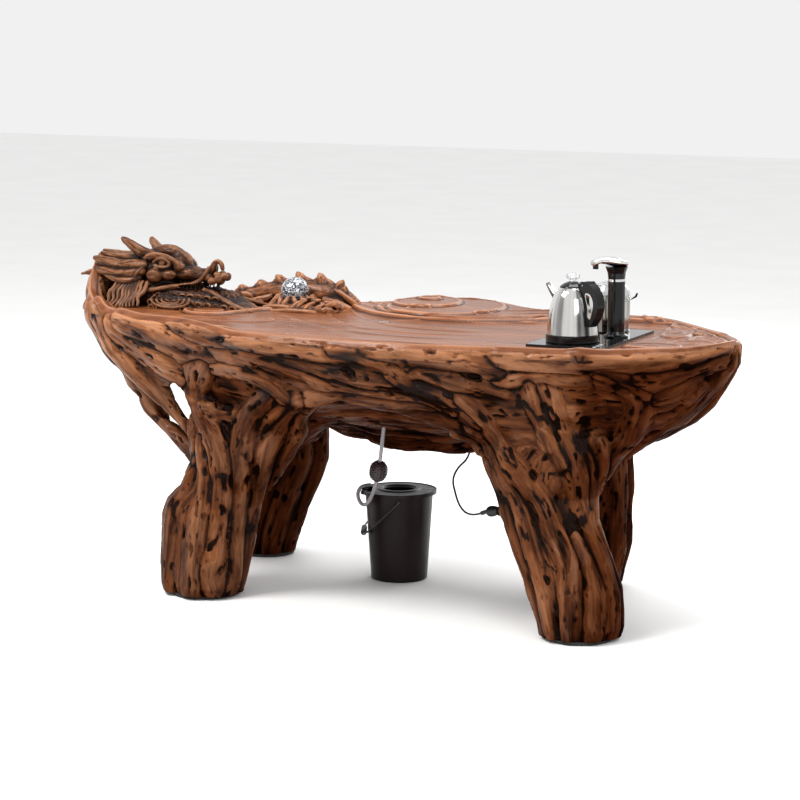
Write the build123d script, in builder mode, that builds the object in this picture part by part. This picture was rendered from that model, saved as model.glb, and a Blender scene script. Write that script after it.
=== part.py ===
"""Gongfu tea table: a root-carved wooden table with a dragon at the left end,
a let-in tea cooker at the right end, a drain hose and a waste-water bucket.

Millimetres.  +X runs along the table to the right, +Y to the rear, +Z up.
The origin is on the floor, below the centre of the table's bounding box.
"""
import math
import os
from build123d import *

os.makedirs("parts", exist_ok=True)

# ---------------------------------------------------------------- dimensions
DX, DY = 35.902, 5.373            # shift from carving datum to the centre of the table

TOP_Z = 720.0                 # tea field of the table top
RIM_Z = 726.0                 # raised bead along the front edge
CLOUD_Z = 735.0               # carved cloud plateau along the rear
SLAB_BOTTOM_Z = 640.0
APRON_BOTTOM_Z = 480.0
BELLY_Z = 372.0
PAD_H = 8.0                   # rubber pads under the feet

PANEL_C = (538.0, -141.0)     # glass panel of the cooker
PANEL_W, PANEL_L, PANEL_T = 200.0, 362.0, 5.0
HOUSING_W, HOUSING_L, HOUSING_H = 176.0, 338.0, 50.0
PANEL_TOP = TOP_Z + 1.0 + PANEL_T

KETTLE_C = (526.0, -232.0)
KETTLE_Z = PANEL_TOP + 0.3
KETTLE_HANDLE_ANGLE = -27.0
COLUMN_C = (592.0, -110.0)
COLUMN_R = 21.5
SPOUT_ANGLE = 235.0
POT_C = (540.0, -16.0)
POT_Z = PANEL_TOP + 0.3

DRAIN_C = (-67.9, -50.0)
PIPE_R = 6.2                  # stub that the hose is pushed against

BALL_C = (-407.0, 113.0, 764.0)
BALL_R = 39.0

BUCKET_C = (-123.0, 161.0)
BUCKET_H = 240.0
LIP_ANGLE = 204.0             # pouring lip of the bucket

HOSE_D = 10.0
CORD_D = 5.5

# Free drain hose, from the stub under the table to its end in the bucket lip.
HOSE_ROUTE = [
    (-67.9, -50.0, 450.1), (-92.3, -20.0, 354.0), (-114.9, 0.0, 279.9),
    (-141.0, 24.0, 238.9), (-167.5, 50.0, 212.8), (-194.7, 76.0, 208.4),
    (-215.0, 96.0, 223.0), (-219.4, 110.0, 240.3), (-210.5, 123.0, 250.8),
    (-197.4, 139.0, 250.2),
]
# Free mains lead, from the grommet in the belly panel to the plug.
CORD_ROUTE = [
    (109.6, 100.0, 372.0), (106.0, 95.0, 350.5), (88.0, 70.0, 331.0),
    (90.9, 28.0, 306.0), (114.1, -6.0, 280.7), (139.1, -40.0, 257.2),
    (168.0, -64.0, 240.4), (200.6, -78.0, 239.7), (222.0, -84.0, 248.0),
]

# Edge of the top at TOP_Z, anticlockwise from the left front.
TOP_EDGE = [
    (-845, -186), (-762, -240), (-664, -292), (-560, -318), (-433, -366),
    (-295, -430), (-150, -456), (0, -466), (160, -463), (289, -440),
    (408, -414), (533, -399), (653, -377), (758, -322), (861, -250),
    (908, -150), (912, -60), (876, 15), (790, 108), (701, 200),
    (596, 286), (482, 306), (350, 306), (240, 312), (146, 373),
    (51, 440), (-47, 456), (-117, 436), (-190, 370), (-250, 290),
    (-330, 245), (-450, 232), (-580, 232), (-720, 222), (-850, 192),
    (-945, 136), (-986, 50), (-972, -40), (-922, -120),
]


def at(x, y):
    """A point of the carving datum in the table's frame."""
    return (x + DX, y + DY)


def at3(p):
    return (p[0] + DX, p[1] + DY, p[2])


def polar(centre, angle, r):
    a = math.radians(angle)
    return (centre[0] + r * math.cos(a), centre[1] + r * math.sin(a))


def edge(kx, ky, cx=0.0, cy=-5.0, step=1):
    """The top's outline drawn in towards (cx, cy)."""
    return [at(cx + (x - cx) * kx, cy + (y - cy) * ky) for x, y in TOP_EDGE[::step]]


def ring(cx, cy, rx, ry, wobble, turn=0.0):
    """A lobed closed section round (cx, cy)."""
    pts = []
    n = len(wobble)
    for i, w in enumerate(wobble):
        a = math.radians(turn + 360.0 * i / n)
        pts.append(at(cx + rx * w * math.cos(a), cy + ry * w * math.sin(a)))
    return pts


def fillet_radii(points):
    radii = []
    for a, b, c in zip(points, points[1:], points[2:]):
        u = Vector(*b) - Vector(*a)
        v = Vector(*c) - Vector(*b)
        turn = math.radians(u.get_angle(v))
        radii.append(0.45 * min(u.length, v.length) / math.tan(turn / 2))
    return radii


def path_length(line):
    return sum(e.length for e in line.edges())


def finish(part, name):
    part.part.label = name
    export_step(part.part, "parts/" + name + ".step")


# ------------------------------------------------------------------ wood: top
cut_w, cut_l = HOUSING_W + 2.0, HOUSING_L + 2.0

with BuildPart() as prow_blank:
    # raised prow at the left end, its top falling towards the front and the rear
    with BuildSketch(Plane.XY.offset(TOP_Z - 20)):
        with BuildLine():
            Spline(*edge(0.992, 0.985), periodic=True)
        make_face()
        with BuildLine():
            Spline(*edge(0.94, 0.86), periodic=True)
        make_face(mode=Mode.SUBTRACT)
        with Locations(at(70, 0)):
            Rectangle(1700, 1100, mode=Mode.SUBTRACT)
    extrude(amount=110.0)
    for normal in ((0.36, -0.28, 0.89), (0.42, 0.15, 0.89)):
        with BuildSketch(Plane(origin=(*at(-985, 60), 814.0), x_dir=(0, 1, 0), z_dir=normal)):
            Rectangle(2600, 800)
        extrude(amount=220.0, mode=Mode.SUBTRACT)

with BuildPart() as tray_top:
    for z, kx, ky in ((SLAB_BOTTOM_Z, 0.965, 0.93), (682.0, 1.0, 1.0), (TOP_Z, 0.992, 0.985)):
        with BuildSketch(Plane.XY.offset(z)):
            with BuildLine():
                Spline(*edge(kx, ky), periodic=True)
            make_face()
    loft()
    # bead round the tea field
    with BuildSketch(Plane.XY.offset(TOP_Z)):
        with BuildLine():
            Spline(*edge(0.988, 0.978), periodic=True)
        make_face()
        with BuildLine():
            Spline(*edge(0.955, 0.92), periodic=True)
        make_face(mode=Mode.SUBTRACT)
    extrude(amount=RIM_Z - TOP_Z)
    # carved cloud plateau along the rear
    with BuildSketch(Plane.XY.offset(TOP_Z)):
        with BuildLine():
            Spline(*[at(*p) for p in (
                (-292, 238), (-230, 130), (-120, 40), (0, 10), (120, 20), (250, 90),
                (345, 150), (440, 200), (560, 210), (590, 250), (540, 292), (350, 296), (240, 304),
                (146, 365), (51, 430), (-47, 446), (-117, 426), (-190, 360), (-250, 285))],
                periodic=True)
        make_face()
    extrude(amount=CLOUD_Z - TOP_Z)
    # two stepped rings of the large cloud
    with BuildSketch(Plane.XY.offset(CLOUD_Z)):
        with Locations(at(-75, 245)):
            Ellipse(105, 92)
    extrude(amount=4.0)
    with BuildSketch(Plane.XY.offset(CLOUD_Z + 4.0)):
        with Locations(at(-88, 281)):
            Ellipse(30, 26)
    extrude(amount=5.0)
    # carved clouds at the right end
    with BuildSketch(Plane.XY.offset(TOP_Z)):
        with BuildLine():
            Spline(*[at(*p) for p in (
                (668, -60), (690, 60), (640, 160), (640, 235), (700, 180), (780, 100),
                (862, 10), (895, -70), (885, -150), (840, -230), (740, -250), (680, -180))],
                periodic=True)
        make_face()
    extrude(amount=9.0)
    # level serving area in the front half of the field
    with BuildSketch(Plane.XY.offset(TOP_Z)):
        with Locations(at(60, -200)):
            RectangleRounded(640, 200, 60)
    extrude(amount=0.5)
    add(prow_blank.part)
    # seat for the cooker, its cable pass, and the drain
    with BuildSketch(Plane.XY.offset(PANEL_TOP - PANEL_T)):
        with Locations(at(*PANEL_C)):
            Rectangle(PANEL_W + 6, PANEL_L + 6)
    extrude(amount=40.0, mode=Mode.SUBTRACT)
    with BuildSketch(Plane.XY.offset(TOP_Z - HOUSING_H - 8)):
        with Locations(at(*PANEL_C)):
            Rectangle(cut_w, cut_l)
    extrude(amount=HOUSING_H + 40, mode=Mode.SUBTRACT)
    with BuildSketch(Plane.XY.offset(SLAB_BOTTOM_Z - 5)):
        with Locations(at(500, -60)):
            Circle(22)
    extrude(amount=60, mode=Mode.SUBTRACT)
    with BuildSketch(Plane.XY.offset(SLAB_BOTTOM_Z - 5)):
        with Locations(at(*DRAIN_C)):
            Circle(9.5)
    extrude(amount=120, mode=Mode.SUBTRACT)
    with BuildSketch(Plane.XY.offset(TOP_Z)):
        with Locations(at(*DRAIN_C)):
            Circle(15.0)
    extrude(amount=-6.0, mode=Mode.SUBTRACT)
    # blind sockets for the dowels that hold the top
    TOP_DOWELS = [(-640, -190), (-640, 150), (-240, -310), (-200, 250), (300, -330), (250, 230),
                  (700, -200), (690, 60)]
    with BuildSketch(Plane.XY.offset(SLAB_BOTTOM_Z - 1)):
        with Locations(*[at(*p) for p in TOP_DOWELS]):
            Circle(8.0)
    extrude(amount=31.0, mode=Mode.SUBTRACT)
finish(tray_top, "tray_top")

# --------------------------------------------------------------- wood: aprons
LEG_DOWELS = {
    "leg_front_left": [(-465, -190), (-330, -200)],
    "leg_front_right": [(430, -215), (545, -190)],
    "leg_rear_left": [(-530, 148), (-450, 148)],
    "leg_rear_right": [(400, 190), (470, 185)],
}

with BuildPart() as apron_ring:
    for z, kx, ky, cy in ((APRON_BOTTOM_Z, 0.80, 0.76, 60), (560.0, 0.905, 0.86, 30),
                          (SLAB_BOTTOM_Z, 0.965, 0.93, -5)):
        with BuildSketch(Plane.XY.offset(z)):
            with BuildLine():
                Spline(*edge(kx, ky, cy=cy, step=2), periodic=True)
            make_face()
    loft()
    with BuildSketch(Plane.XY.offset(APRON_BOTTOM_Z - 1)):
        with BuildLine():
            Spline(*edge(0.53, 0.36, cx=10, cy=20, step=2), periodic=True)
        make_face()
    extrude(amount=SLAB_BOTTOM_Z - APRON_BOTTOM_Z + 2, mode=Mode.SUBTRACT)
    with BuildSketch(Plane.XY.offset(APRON_BOTTOM_Z - 1)):
        with Locations(*[at(*p) for leg in LEG_DOWELS.values() for p in leg]):
            Circle(10.0)
    extrude(amount=61.0, mode=Mode.SUBTRACT)
    with BuildSketch(Plane.XY.offset(SLAB_BOTTOM_Z - 30)):
        with Locations(*[at(*p) for p in TOP_DOWELS]):
            Circle(8.0)
    extrude(amount=31.0, mode=Mode.SUBTRACT)

X_LEFT, X_RIGHT, Y_MID = at(-560, 0)[0], at(520, 0)[0], at(0, 20)[1]

with BuildPart() as front_apron:
    add(apron_ring.part)
    split(bisect_by=Plane(origin=(X_LEFT, 0, 0), z_dir=(1, 0, 0)), keep=Keep.TOP)
    split(bisect_by=Plane(origin=(X_RIGHT, 0, 0), z_dir=(1, 0, 0)), keep=Keep.BOTTOM)
    split(bisect_by=Plane(origin=(0, Y_MID, 0), z_dir=(0, 1, 0)), keep=Keep.BOTTOM)
finish(front_apron, "front_apron")

with BuildPart() as rear_apron:
    add(apron_ring.part)
    split(bisect_by=Plane(origin=(X_LEFT, 0, 0), z_dir=(1, 0, 0)), keep=Keep.TOP)
    split(bisect_by=Plane(origin=(X_RIGHT, 0, 0), z_dir=(1, 0, 0)), keep=Keep.BOTTOM)
    split(bisect_by=Plane(origin=(0, Y_MID, 0), z_dir=(0, 1, 0)), keep=Keep.TOP)
finish(rear_apron, "rear_apron")

with BuildPart() as left_end_apron:
    add(apron_ring.part)
    split(bisect_by=Plane(origin=(X_LEFT, 0, 0), z_dir=(1, 0, 0)), keep=Keep.BOTTOM)
finish(left_end_apron, "left_end_apron")

with BuildPart() as right_end_apron:
    add(apron_ring.part)
    split(bisect_by=Plane(origin=(X_RIGHT, 0, 0), z_dir=(1, 0, 0)), keep=Keep.TOP)
finish(right_end_apron, "right_end_apron")

# ----------------------------------------------------------------- wood: legs
# height: centre x, y, half width x, y
LEG_SECTIONS = {
    "leg_front_right": [
        (PAD_H, 572, -280, 96, 100), (120, 539, -252, 112, 116), (280, 474, -214, 122, 128),
        (380, 462, -192, 150, 150), (APRON_BOTTOM_Z, 472, -160, 205, 165)],
    "leg_front_left": [
        (PAD_H, -505, -220, 108, 108), (120, -507, -200, 125, 120), (280, -468, -172, 136, 132),
        (380, -415, -156, 160, 140), (APRON_BOTTOM_Z, -375, -140, 205, 160)],
    "leg_rear_left": [
        (PAD_H, -600, 305, 98, 95), (120, -560, 295, 108, 100), (280, -505, 275, 116, 104),
        (380, -498, 240, 124, 106), (APRON_BOTTOM_Z, -488, 135, 124, 98)],
    "leg_rear_right": [
        (PAD_H, 376, 298, 90, 92), (120, 396, 285, 98, 98), (280, 402, 265, 102, 102),
        (380, 405, 240, 106, 106), (APRON_BOTTOM_Z, 410, 165, 118, 106)],
}
LOBES = [1.0, 0.93, 1.03, 0.96, 1.02, 0.92, 1.0, 0.97, 1.03, 0.94]
legs = {}
for leg_name, sections in LEG_SECTIONS.items():
    with BuildPart() as leg:
        for i, (z, cx, cy, rx, ry) in enumerate(sections):
            with BuildSketch(Plane.XY.offset(z)):
                with BuildLine():
                    Spline(*ring(cx, cy, rx, ry, LOBES, turn=6.0 * i), periodic=True)
                make_face()
        loft()
        with BuildSketch(Plane.XY.offset(APRON_BOTTOM_Z - 60)):
            with Locations(*[at(*p) for p in LEG_DOWELS[leg_name]]):
                Circle(10.0)
        extrude(amount=61.0, mode=Mode.SUBTRACT)
        if leg_name == "leg_front_right":
            # root burl on the inner rear side, with a knot hollow where the plug's pins are parked
            with BuildSketch(Plane.XY.offset(232.0)):
                with BuildLine():
                    Spline(*[at(*p) for p in ((288, -100), (300, -124), (352, -150), (420, -160),
                                              (440, -90), (380, -66), (300, -78))], periodic=True)
                make_face()
            extrude(amount=76.0)
            with BuildSketch(Plane(origin=(*at(279, -100.0), 261.2), x_dir=(0.28, 1, 0), z_dir=(1, -0.28, 0.13))):
                Rectangle(28, 22)
            extrude(amount=36, mode=Mode.SUBTRACT)
    legs[leg_name] = leg.part
    finish(leg, leg_name)

# -------------------------------------------------- wood: belly between the legs
with BuildPart() as belly_blank:
    for z, cx, cy, rx, ry in ((BELLY_Z, -10, 165, 260, 70), (410, -10, 155, 330, 112),
                              (445, 0, 120, 410, 165), (APRON_BOTTOM_Z, 5, 60, 520, 235)):
        with BuildSketch(Plane.XY.offset(z)):
            with BuildLine():
                Spline(*ring(cx, cy, rx, ry, [1.0, 1.03, 0.98, 1.02, 1.0, 0.97, 1.02, 0.98, 1.03, 1.0]),
                       periodic=True)
            make_face()
    loft()
    for leg_part in legs.values():
        add(leg_part, mode=Mode.SUBTRACT)
    with BuildSketch(Plane.XY.offset(APRON_BOTTOM_Z - 62)):
        with Locations(*[at(*p) for leg in LEG_DOWELS.values() for p in leg]):
            Circle(10.0)
    extrude(amount=80.0, mode=Mode.SUBTRACT)
    with BuildSketch(Plane.XY.offset(300)):
        with Locations(at(*DRAIN_C)):
            Circle(9.5)
    extrude(amount=200, mode=Mode.SUBTRACT)
    with BuildSketch(Plane.XY.offset(BELLY_Z - 5)):
        with Locations(at(CORD_ROUTE[0][0], CORD_ROUTE[0][1])):
            Circle(7.0)
    extrude(amount=120, mode=Mode.SUBTRACT)

with BuildPart() as belly_panel:
    add(belly_blank.part.solids().sort_by(SortBy.VOLUME)[-1])
finish(belly_panel, "belly_panel")

with BuildPart() as root_strand:
    for z, cx, cy, r in ((330, -548, -140, 26), (405, -640, -112, 22), (440, -702, -88, 21),
                         (APRON_BOTTOM_Z, -752, -62, 26)):
        with BuildSketch(Plane.XY.offset(z)):
            with Locations(at(cx, cy)):
                Circle(r)
    loft()
    add(legs["leg_front_left"], mode=Mode.SUBTRACT)
    split(bisect_by=Plane(origin=(at(-560, 0)[0], 0, 0), z_dir=(1, 0, 0)), keep=Keep.BOTTOM)
finish(root_strand, "root_strand")

with BuildPart() as leg_dowels:
    with BuildSketch(Plane.XY.offset(APRON_BOTTOM_Z - 60)):
        with Locations(*[at(*p) for leg in LEG_DOWELS.values() for p in leg]):
            Circle(10.0)
    extrude(amount=120.0)
finish(leg_dowels, "leg_dowels")

with BuildPart() as top_dowels:
    with BuildSketch(Plane.XY.offset(SLAB_BOTTOM_Z - 30)):
        with Locations(*[at(*p) for p in TOP_DOWELS]):
            Circle(8.0)
    extrude(amount=60.0)
finish(top_dowels, "top_dowels")

with BuildPart() as foot_pads:
    for z, cx, cy, rx, ry in (LEG_SECTIONS["leg_front_right"][0], LEG_SECTIONS["leg_front_left"][0],
                              LEG_SECTIONS["leg_rear_left"][0], LEG_SECTIONS["leg_rear_right"][0]):
        with BuildSketch(Plane.XY):
            with Locations(at(cx, cy)):
                Ellipse(rx * 0.80, ry * 0.80)
        extrude(amount=PAD_H)
finish(foot_pads, "foot_pads")

# --------------------------------------------------------- carving: the dragon
DRAGON_Y = 62.0
with BuildPart() as dragon_blank:
    # mane, brow, cheek and snout
    for x, zc, ry, rz in ((-925, 776, 66, 34), (-895, 778, 96, 44), (-840, 782, 104, 54),
                          (-770, 790, 92, 62), (-715, 788, 76, 64), (-660, 776, 58, 46),
                          (-612, 778, 46, 42), (-582, 782, 26, 22)):
        with BuildSketch(Plane(origin=(x + DX, DRAGON_Y + DY, zc), x_dir=(0, 1, 0), z_dir=(1, 0, 0))):
            Ellipse(ry, rz)
    loft()
    # beard and breaking waves that carry the head
    for z, k in ((TOP_Z, 1.0), (TOP_Z + 46.0, 0.86)):
        with BuildSketch(Plane.XY.offset(z)):
            with BuildLine():
                Spline(*[at(-720 + (x + 720) * k, 30 + (y - 30) * k) for x, y in (
                    (-925, 40), (-880, -70), (-800, -110), (-700, -90), (-600, -60),
                    (-480, 10), (-530, 90), (-640, 150), (-780, 170), (-890, 140))], periodic=True)
            make_face()
    loft()
    # two horns, one on each side of the brow
    for (x0, y0, z0), (x1, y1, z1) in (((-770, 10, 826), (-862, -18, 878)),
                                       ((-760, 120, 826), (-900, 150, 880)),
                                       ((-800, 20, 838), (-905, 10, 862))):
        root, tip = Vector(*at(x0, y0), z0), Vector(*at(x1, y1), z1)
        direction = tip - root
        for k, r in ((0.0, 15.0), (1.0, 6.0)):
            with BuildSketch(Plane(origin=root + direction * k, z_dir=direction)):
                Circle(r)
        loft()
    with BuildSketch(Plane.XY.offset(TOP_Z - 150)):
        with Locations(at(-700, 60)):
            Rectangle(900, 700)
    extrude(amount=150.0, mode=Mode.SUBTRACT)
    add(tray_top.part, mode=Mode.SUBTRACT)

with BuildPart() as dragon_head:
    add(dragon_blank.part.solids().sort_by(SortBy.VOLUME)[-1])
finish(dragon_head, "dragon_head")

with BuildPart() as dragon_crest:
    # spined back rising out of the clouds behind the ball
    with BuildSketch(Plane(origin=(0, DY + 215, 0), x_dir=(1, 0, 0), z_dir=(0, -1, 0))):
        with BuildLine():
            Polyline([(x + DX, z) for x, z in (
                (-640, TOP_Z), (-622, 744), (-604, 762), (-588, 748), (-560, 754), (-536, 784),
                (-518, 766), (-500, 770), (-474, 802), (-458, 782), (-436, 786), (-414, 816),
                (-396, 796), (-368, 798), (-348, 812), (-336, 786), (-312, 766), (-290, 738),
                (-276, TOP_Z), (-640, TOP_Z))])
        make_face()
    extrude(amount=42.0)
    for z, k in ((TOP_Z, 1.0), (TOP_Z + 34.0, 0.9)):
        with BuildSketch(Plane.XY.offset(z)):
            with Locations(at(-455, 190)):
                Ellipse(175 * k, 27 * k)
    loft()
    add(tray_top.part, mode=Mode.SUBTRACT)
finish(dragon_crest, "dragon_crest")

with BuildPart() as ball_cradle:
    # clawed wave that holds the ball
    for z, k in ((TOP_Z, 1.0), (TOP_Z + 32.0, 0.86)):
        with BuildSketch(Plane.XY.offset(z)):
            with BuildLine():
                Spline(*[at(-385 + (x + 385) * k, 95 + (y - 95) * k) for x, y in (
                    (-500, 110), (-470, 60), (-410, 38), (-340, 22), (-270, 40),
                    (-262, 90), (-320, 140), (-400, 155), (-470, 155))], periodic=True)
            make_face()
    loft()
    with Locations((*at(BALL_C[0], BALL_C[1]), BALL_C[2])):
        Sphere(BALL_R + 0.4, mode=Mode.SUBTRACT)
finish(ball_cradle, "ball_cradle")

with BuildPart() as crystal_ball:
    with Locations((*at(BALL_C[0], BALL_C[1]), BALL_C[2])):
        Sphere(BALL_R)
finish(crystal_ball, "crystal_ball")

# ------------------------------------------------------------------- the drain
with BuildPart() as drain_body:
    # flanged tailpiece let into the top, and the stub that ends under the belly
    with BuildSketch(Plane(origin=(*at(*DRAIN_C), 0), x_dir=(1, 0, 0), z_dir=(0, -1, 0))):
        with BuildLine():
            Polyline((12.4, TOP_Z - 6), (15.0, TOP_Z - 6), (15.0, TOP_Z - 0.4), (13.2, TOP_Z - 0.4),
                     (13.2, TOP_Z - 4), (7.4, TOP_Z - 5.5), (4.2, TOP_Z - 14), (4.2, HOSE_ROUTE[0][2]),
                     (PIPE_R, HOSE_ROUTE[0][2]), (PIPE_R, 600), (9.5, 606), (9.5, TOP_Z - 6),
                     (12.4, TOP_Z - 6))
        make_face()
    revolve(axis=Axis((*at(*DRAIN_C), 0), (0, 0, 1)))
finish(drain_body, "drain_body")

with BuildPart() as drain_strainer:
    with BuildSketch(Plane.XY.offset(TOP_Z - 3.4)):
        with Locations(at(*DRAIN_C)):
            Circle(12.9)
            with PolarLocations(8.0, 8):
                Circle(1.7, mode=Mode.SUBTRACT)
            with PolarLocations(3.6, 4):
                Circle(1.4, mode=Mode.SUBTRACT)
    extrude(amount=2.6)
finish(drain_strainer, "drain_strainer")

with BuildPart() as pipe_clip:
    # clip that holds the stub in the belly panel
    with BuildSketch(Plane.XY.offset(APRON_BOTTOM_Z)):
        with Locations(at(*DRAIN_C)):
            Circle(16)
            Circle(PIPE_R, mode=Mode.SUBTRACT)
    extrude(amount=6)
finish(pipe_clip, "pipe_clip")

with BuildPart() as drain_hose:
    with BuildLine() as hose_line:
        FilletPolyline([at3(p) for p in HOSE_ROUTE], radius=fillet_radii(HOSE_ROUTE))
    with BuildSketch(Plane(origin=hose_line.line @ 0, z_dir=hose_line.line % 0)):
        Circle(HOSE_D / 2)
    sweep(path=hose_line.line)
finish(drain_hose, "drain_hose")
print("hose radii", [round(r) for r in fillet_radii(HOSE_ROUTE)],
      "length", round(path_length(hose_line.line), 1),
      "volume ratio", round(drain_hose.part.volume / (path_length(hose_line.line) * math.pi * HOSE_D ** 2 / 4), 4))

# pine-cone bead that weighs the hose down
bead_top, bead_low = Vector(*at3(HOSE_ROUTE[1])), Vector(*at3(HOSE_ROUTE[2]))
bead_dir = (bead_low - bead_top).normalized()
bead_mid = bead_top + (bead_low - bead_top) * 0.47
with BuildPart() as hose_bead:
    with BuildSketch(Plane(origin=bead_mid, x_dir=bead_dir, z_dir=bead_dir.cross(Vector(0, 1, 0)))):
        with BuildLine():
            Polyline((-31, HOSE_D / 2), (-31, 8), (-29, 12), (-24, 16.5), (-17, 21), (-9, 24.4), (-1, 25.5),
                     (7, 24.6), (15, 21.6), (22, 17), (29, 11), (31, 7.5), (31, HOSE_D / 2), (-31, HOSE_D / 2))
        make_face()
    revolve(axis=Axis(bead_mid, bead_dir))
finish(hose_bead, "hose_bead")

# ------------------------------------------------------------------ the bucket
bx, by = at(*BUCKET_C)
lip_plane = Plane(origin=(bx, by, 0),
                  x_dir=(math.cos(math.radians(LIP_ANGLE)), math.sin(math.radians(LIP_ANGLE)), 0),
                  z_dir=(0, 0, 1))
BUCKET_T = 2.5
EAR_ANGLES = (LIP_ANGLE + 90.0, LIP_ANGLE - 90.0)
EAR_Z = 222.0
with BuildPart() as bucket_body:
    with BuildSketch(Plane(origin=(bx, by, 0), x_dir=(1, 0, 0), z_dir=(0, -1, 0))):
        with BuildLine():
            Polyline((0, 0.3), (72, 0.3), (75, 3.3), (90.5, BUCKET_H - 8), (100.5, BUCKET_H - 8),
                     (100.5, BUCKET_H + 2), (98, BUCKET_H + 2), (98, BUCKET_H - 3), (88, BUCKET_H - 3),
                     (72.4, 4.3), (0, 4.3), (0, 0.3))
        make_face()
    revolve(axis=Axis((bx, by, 0), (0, 0, 1)))
    # pouring lip: the rim drops into an open trough
    with BuildSketch(lip_plane.offset(BUCKET_H - 8.5)):
        with BuildLine():
            Polyline((93.5, -33.5), (97.5, -33.5), (103, -15), (103, 15), (97.5, 33.5), (93.5, 33.5), (93.5, -33.5))
        make_face()
    extrude(amount=10.5)
    with BuildSketch(lip_plane.offset(BUCKET_H - 6)):
        with Locations((100, 0)):
            Rectangle(44, 48)
    extrude(amount=40, mode=Mode.SUBTRACT)
    # ears for the bail
    for ear in EAR_ANGLES:
        a = math.radians(ear)
        ear_plane = Plane(origin=(bx + 88.0 * math.cos(a), by + 88.0 * math.sin(a), EAR_Z),
                          x_dir=(-math.sin(a), math.cos(a), 0), z_dir=(math.cos(a), math.sin(a), 0))
        with BuildSketch(ear_plane):
            Circle(8.0)
        extrude(amount=8.0)
        with BuildSketch(ear_plane):
            Circle(2.8)
        extrude(amount=12.0, mode=Mode.SUBTRACT)
finish(bucket_body, "bucket_body")

with BuildPart() as bucket_lid:
    lid_z = BUCKET_H - 2.7
    with BuildSketch(Plane(origin=(bx, by, 0), x_dir=(1, 0, 0), z_dir=(0, -1, 0))):
        with BuildLine():
            Polyline((41, lid_z), (97.4, lid_z), (97.4, lid_z + 3), (60, lid_z + 5), (56, lid_z + 8),
                     (47, lid_z + 8), (43.5, lid_z + 4), (41, lid_z + 3), (41, lid_z))
        make_face()
    revolve(axis=Axis((bx, by, 0), (0, 0, 1)))
    with BuildSketch(lip_plane.offset(200)):
        with Locations((92, 0)):
            Rectangle(56, 74)
    extrude(amount=80, mode=Mode.SUBTRACT)
finish(bucket_lid, "bucket_lid")

# wire bail, hanging down against the lip side of the bucket
BAIL_R, BAIL_H, BAIL_D = 99.5, 132.0, 5.0
hang = math.radians(44.5)                       # below horizontal
ax = Vector(math.cos(math.radians(LIP_ANGLE)), math.sin(math.radians(LIP_ANGLE)), 0)
side = Vector(-ax.Y, ax.X, 0)
down = (ax * math.cos(hang) + Vector(0, 0, -1) * math.sin(hang)).normalized()
bail_plane = Plane(origin=(bx, by, EAR_Z), x_dir=side, z_dir=side.cross(down))
with BuildPart() as bucket_bail:
    with BuildLine(bail_plane) as bail_line:
        FilletPolyline((BAIL_R, 0), (BAIL_R, BAIL_H), (-BAIL_R, BAIL_H), (-BAIL_R, 0), radius=58.0)
    with BuildSketch(Plane(origin=bail_line.line @ 0, z_dir=bail_line.line % 0)):
        Circle(BAIL_D / 2)
    sweep(path=bail_line.line)
    for s in (-1, 1):
        with BuildSketch(Plane(origin=Vector(bx, by, EAR_Z) + side * (s * (BAIL_R + 3.0)), z_dir=side * (-s))):
            Circle(2.6)
        extrude(amount=11.0)
finish(bucket_bail, "bucket_bail")

grip_c = Vector(bx, by, EAR_Z) + down * BAIL_H
with BuildPart() as bail_grip:
    with BuildSketch(Plane(origin=grip_c - side * 34, x_dir=down, z_dir=side)):
        Circle(8.0)
    extrude(amount=68.0)
    add(bucket_bail.part, mode=Mode.SUBTRACT)
finish(bail_grip, "bail_grip")

# ------------------------------------------------------------------ the cooker
px, py = at(*PANEL_C)
with BuildPart() as cooker_panel:
    with BuildSketch(Plane.XY.offset(PANEL_TOP - PANEL_T)):
        with Locations((px, py)):
            RectangleRounded(PANEL_W - 6, PANEL_L - 6, 3)
        with Locations(at(*COLUMN_C)):
            Circle(15.0, mode=Mode.SUBTRACT)
    extrude(amount=PANEL_T)
finish(cooker_panel, "cooker_panel")

with BuildPart() as panel_frame:
    with BuildSketch(Plane.XY.offset(TOP_Z)):
        with Locations((px, py)):
            RectangleRounded(PANEL_W, PANEL_L, 5)
            Rectangle(HOUSING_W - 8, HOUSING_L - 8, mode=Mode.SUBTRACT)
    extrude(amount=1.0)
    with BuildSketch(Plane.XY.offset(TOP_Z)):
        with Locations((px, py)):
            RectangleRounded(PANEL_W, PANEL_L, 5)
            RectangleRounded(PANEL_W - 6, PANEL_L - 6, 3, mode=Mode.SUBTRACT)
    extrude(amount=1.0 + PANEL_T)
finish(panel_frame, "panel_frame")

with BuildPart() as cooker_housing:
    with BuildSketch(Plane.XY.offset(TOP_Z - HOUSING_H)):
        with Locations((px, py)):
            RectangleRounded(HOUSING_W, HOUSING_L, 6)
    extrude(amount=HOUSING_H)
    with BuildSketch(Plane.XY.offset(TOP_Z - HOUSING_H + 2)):
        with Locations((px, py)):
            RectangleRounded(HOUSING_W - 4, HOUSING_L - 4, 4)
    extrude(amount=HOUSING_H, mode=Mode.SUBTRACT)
    with BuildSketch(Plane.XY.offset(TOP_Z - HOUSING_H - 1)):
        with Locations(at(500, -60)):
            Circle(8)
        with Locations(at(588, -60)):
            Circle(5)
    extrude(amount=4, mode=Mode.SUBTRACT)
finish(cooker_housing, "cooker_housing")

with BuildPart() as kettle_heater:
    with BuildSketch(Plane.XY.offset(PANEL_TOP - PANEL_T - 9)):
        with Locations(at(*KETTLE_C)):
            Circle(58)
            Circle(10, mode=Mode.SUBTRACT)
    extrude(amount=8.0)
finish(kettle_heater, "kettle_heater")

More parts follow.
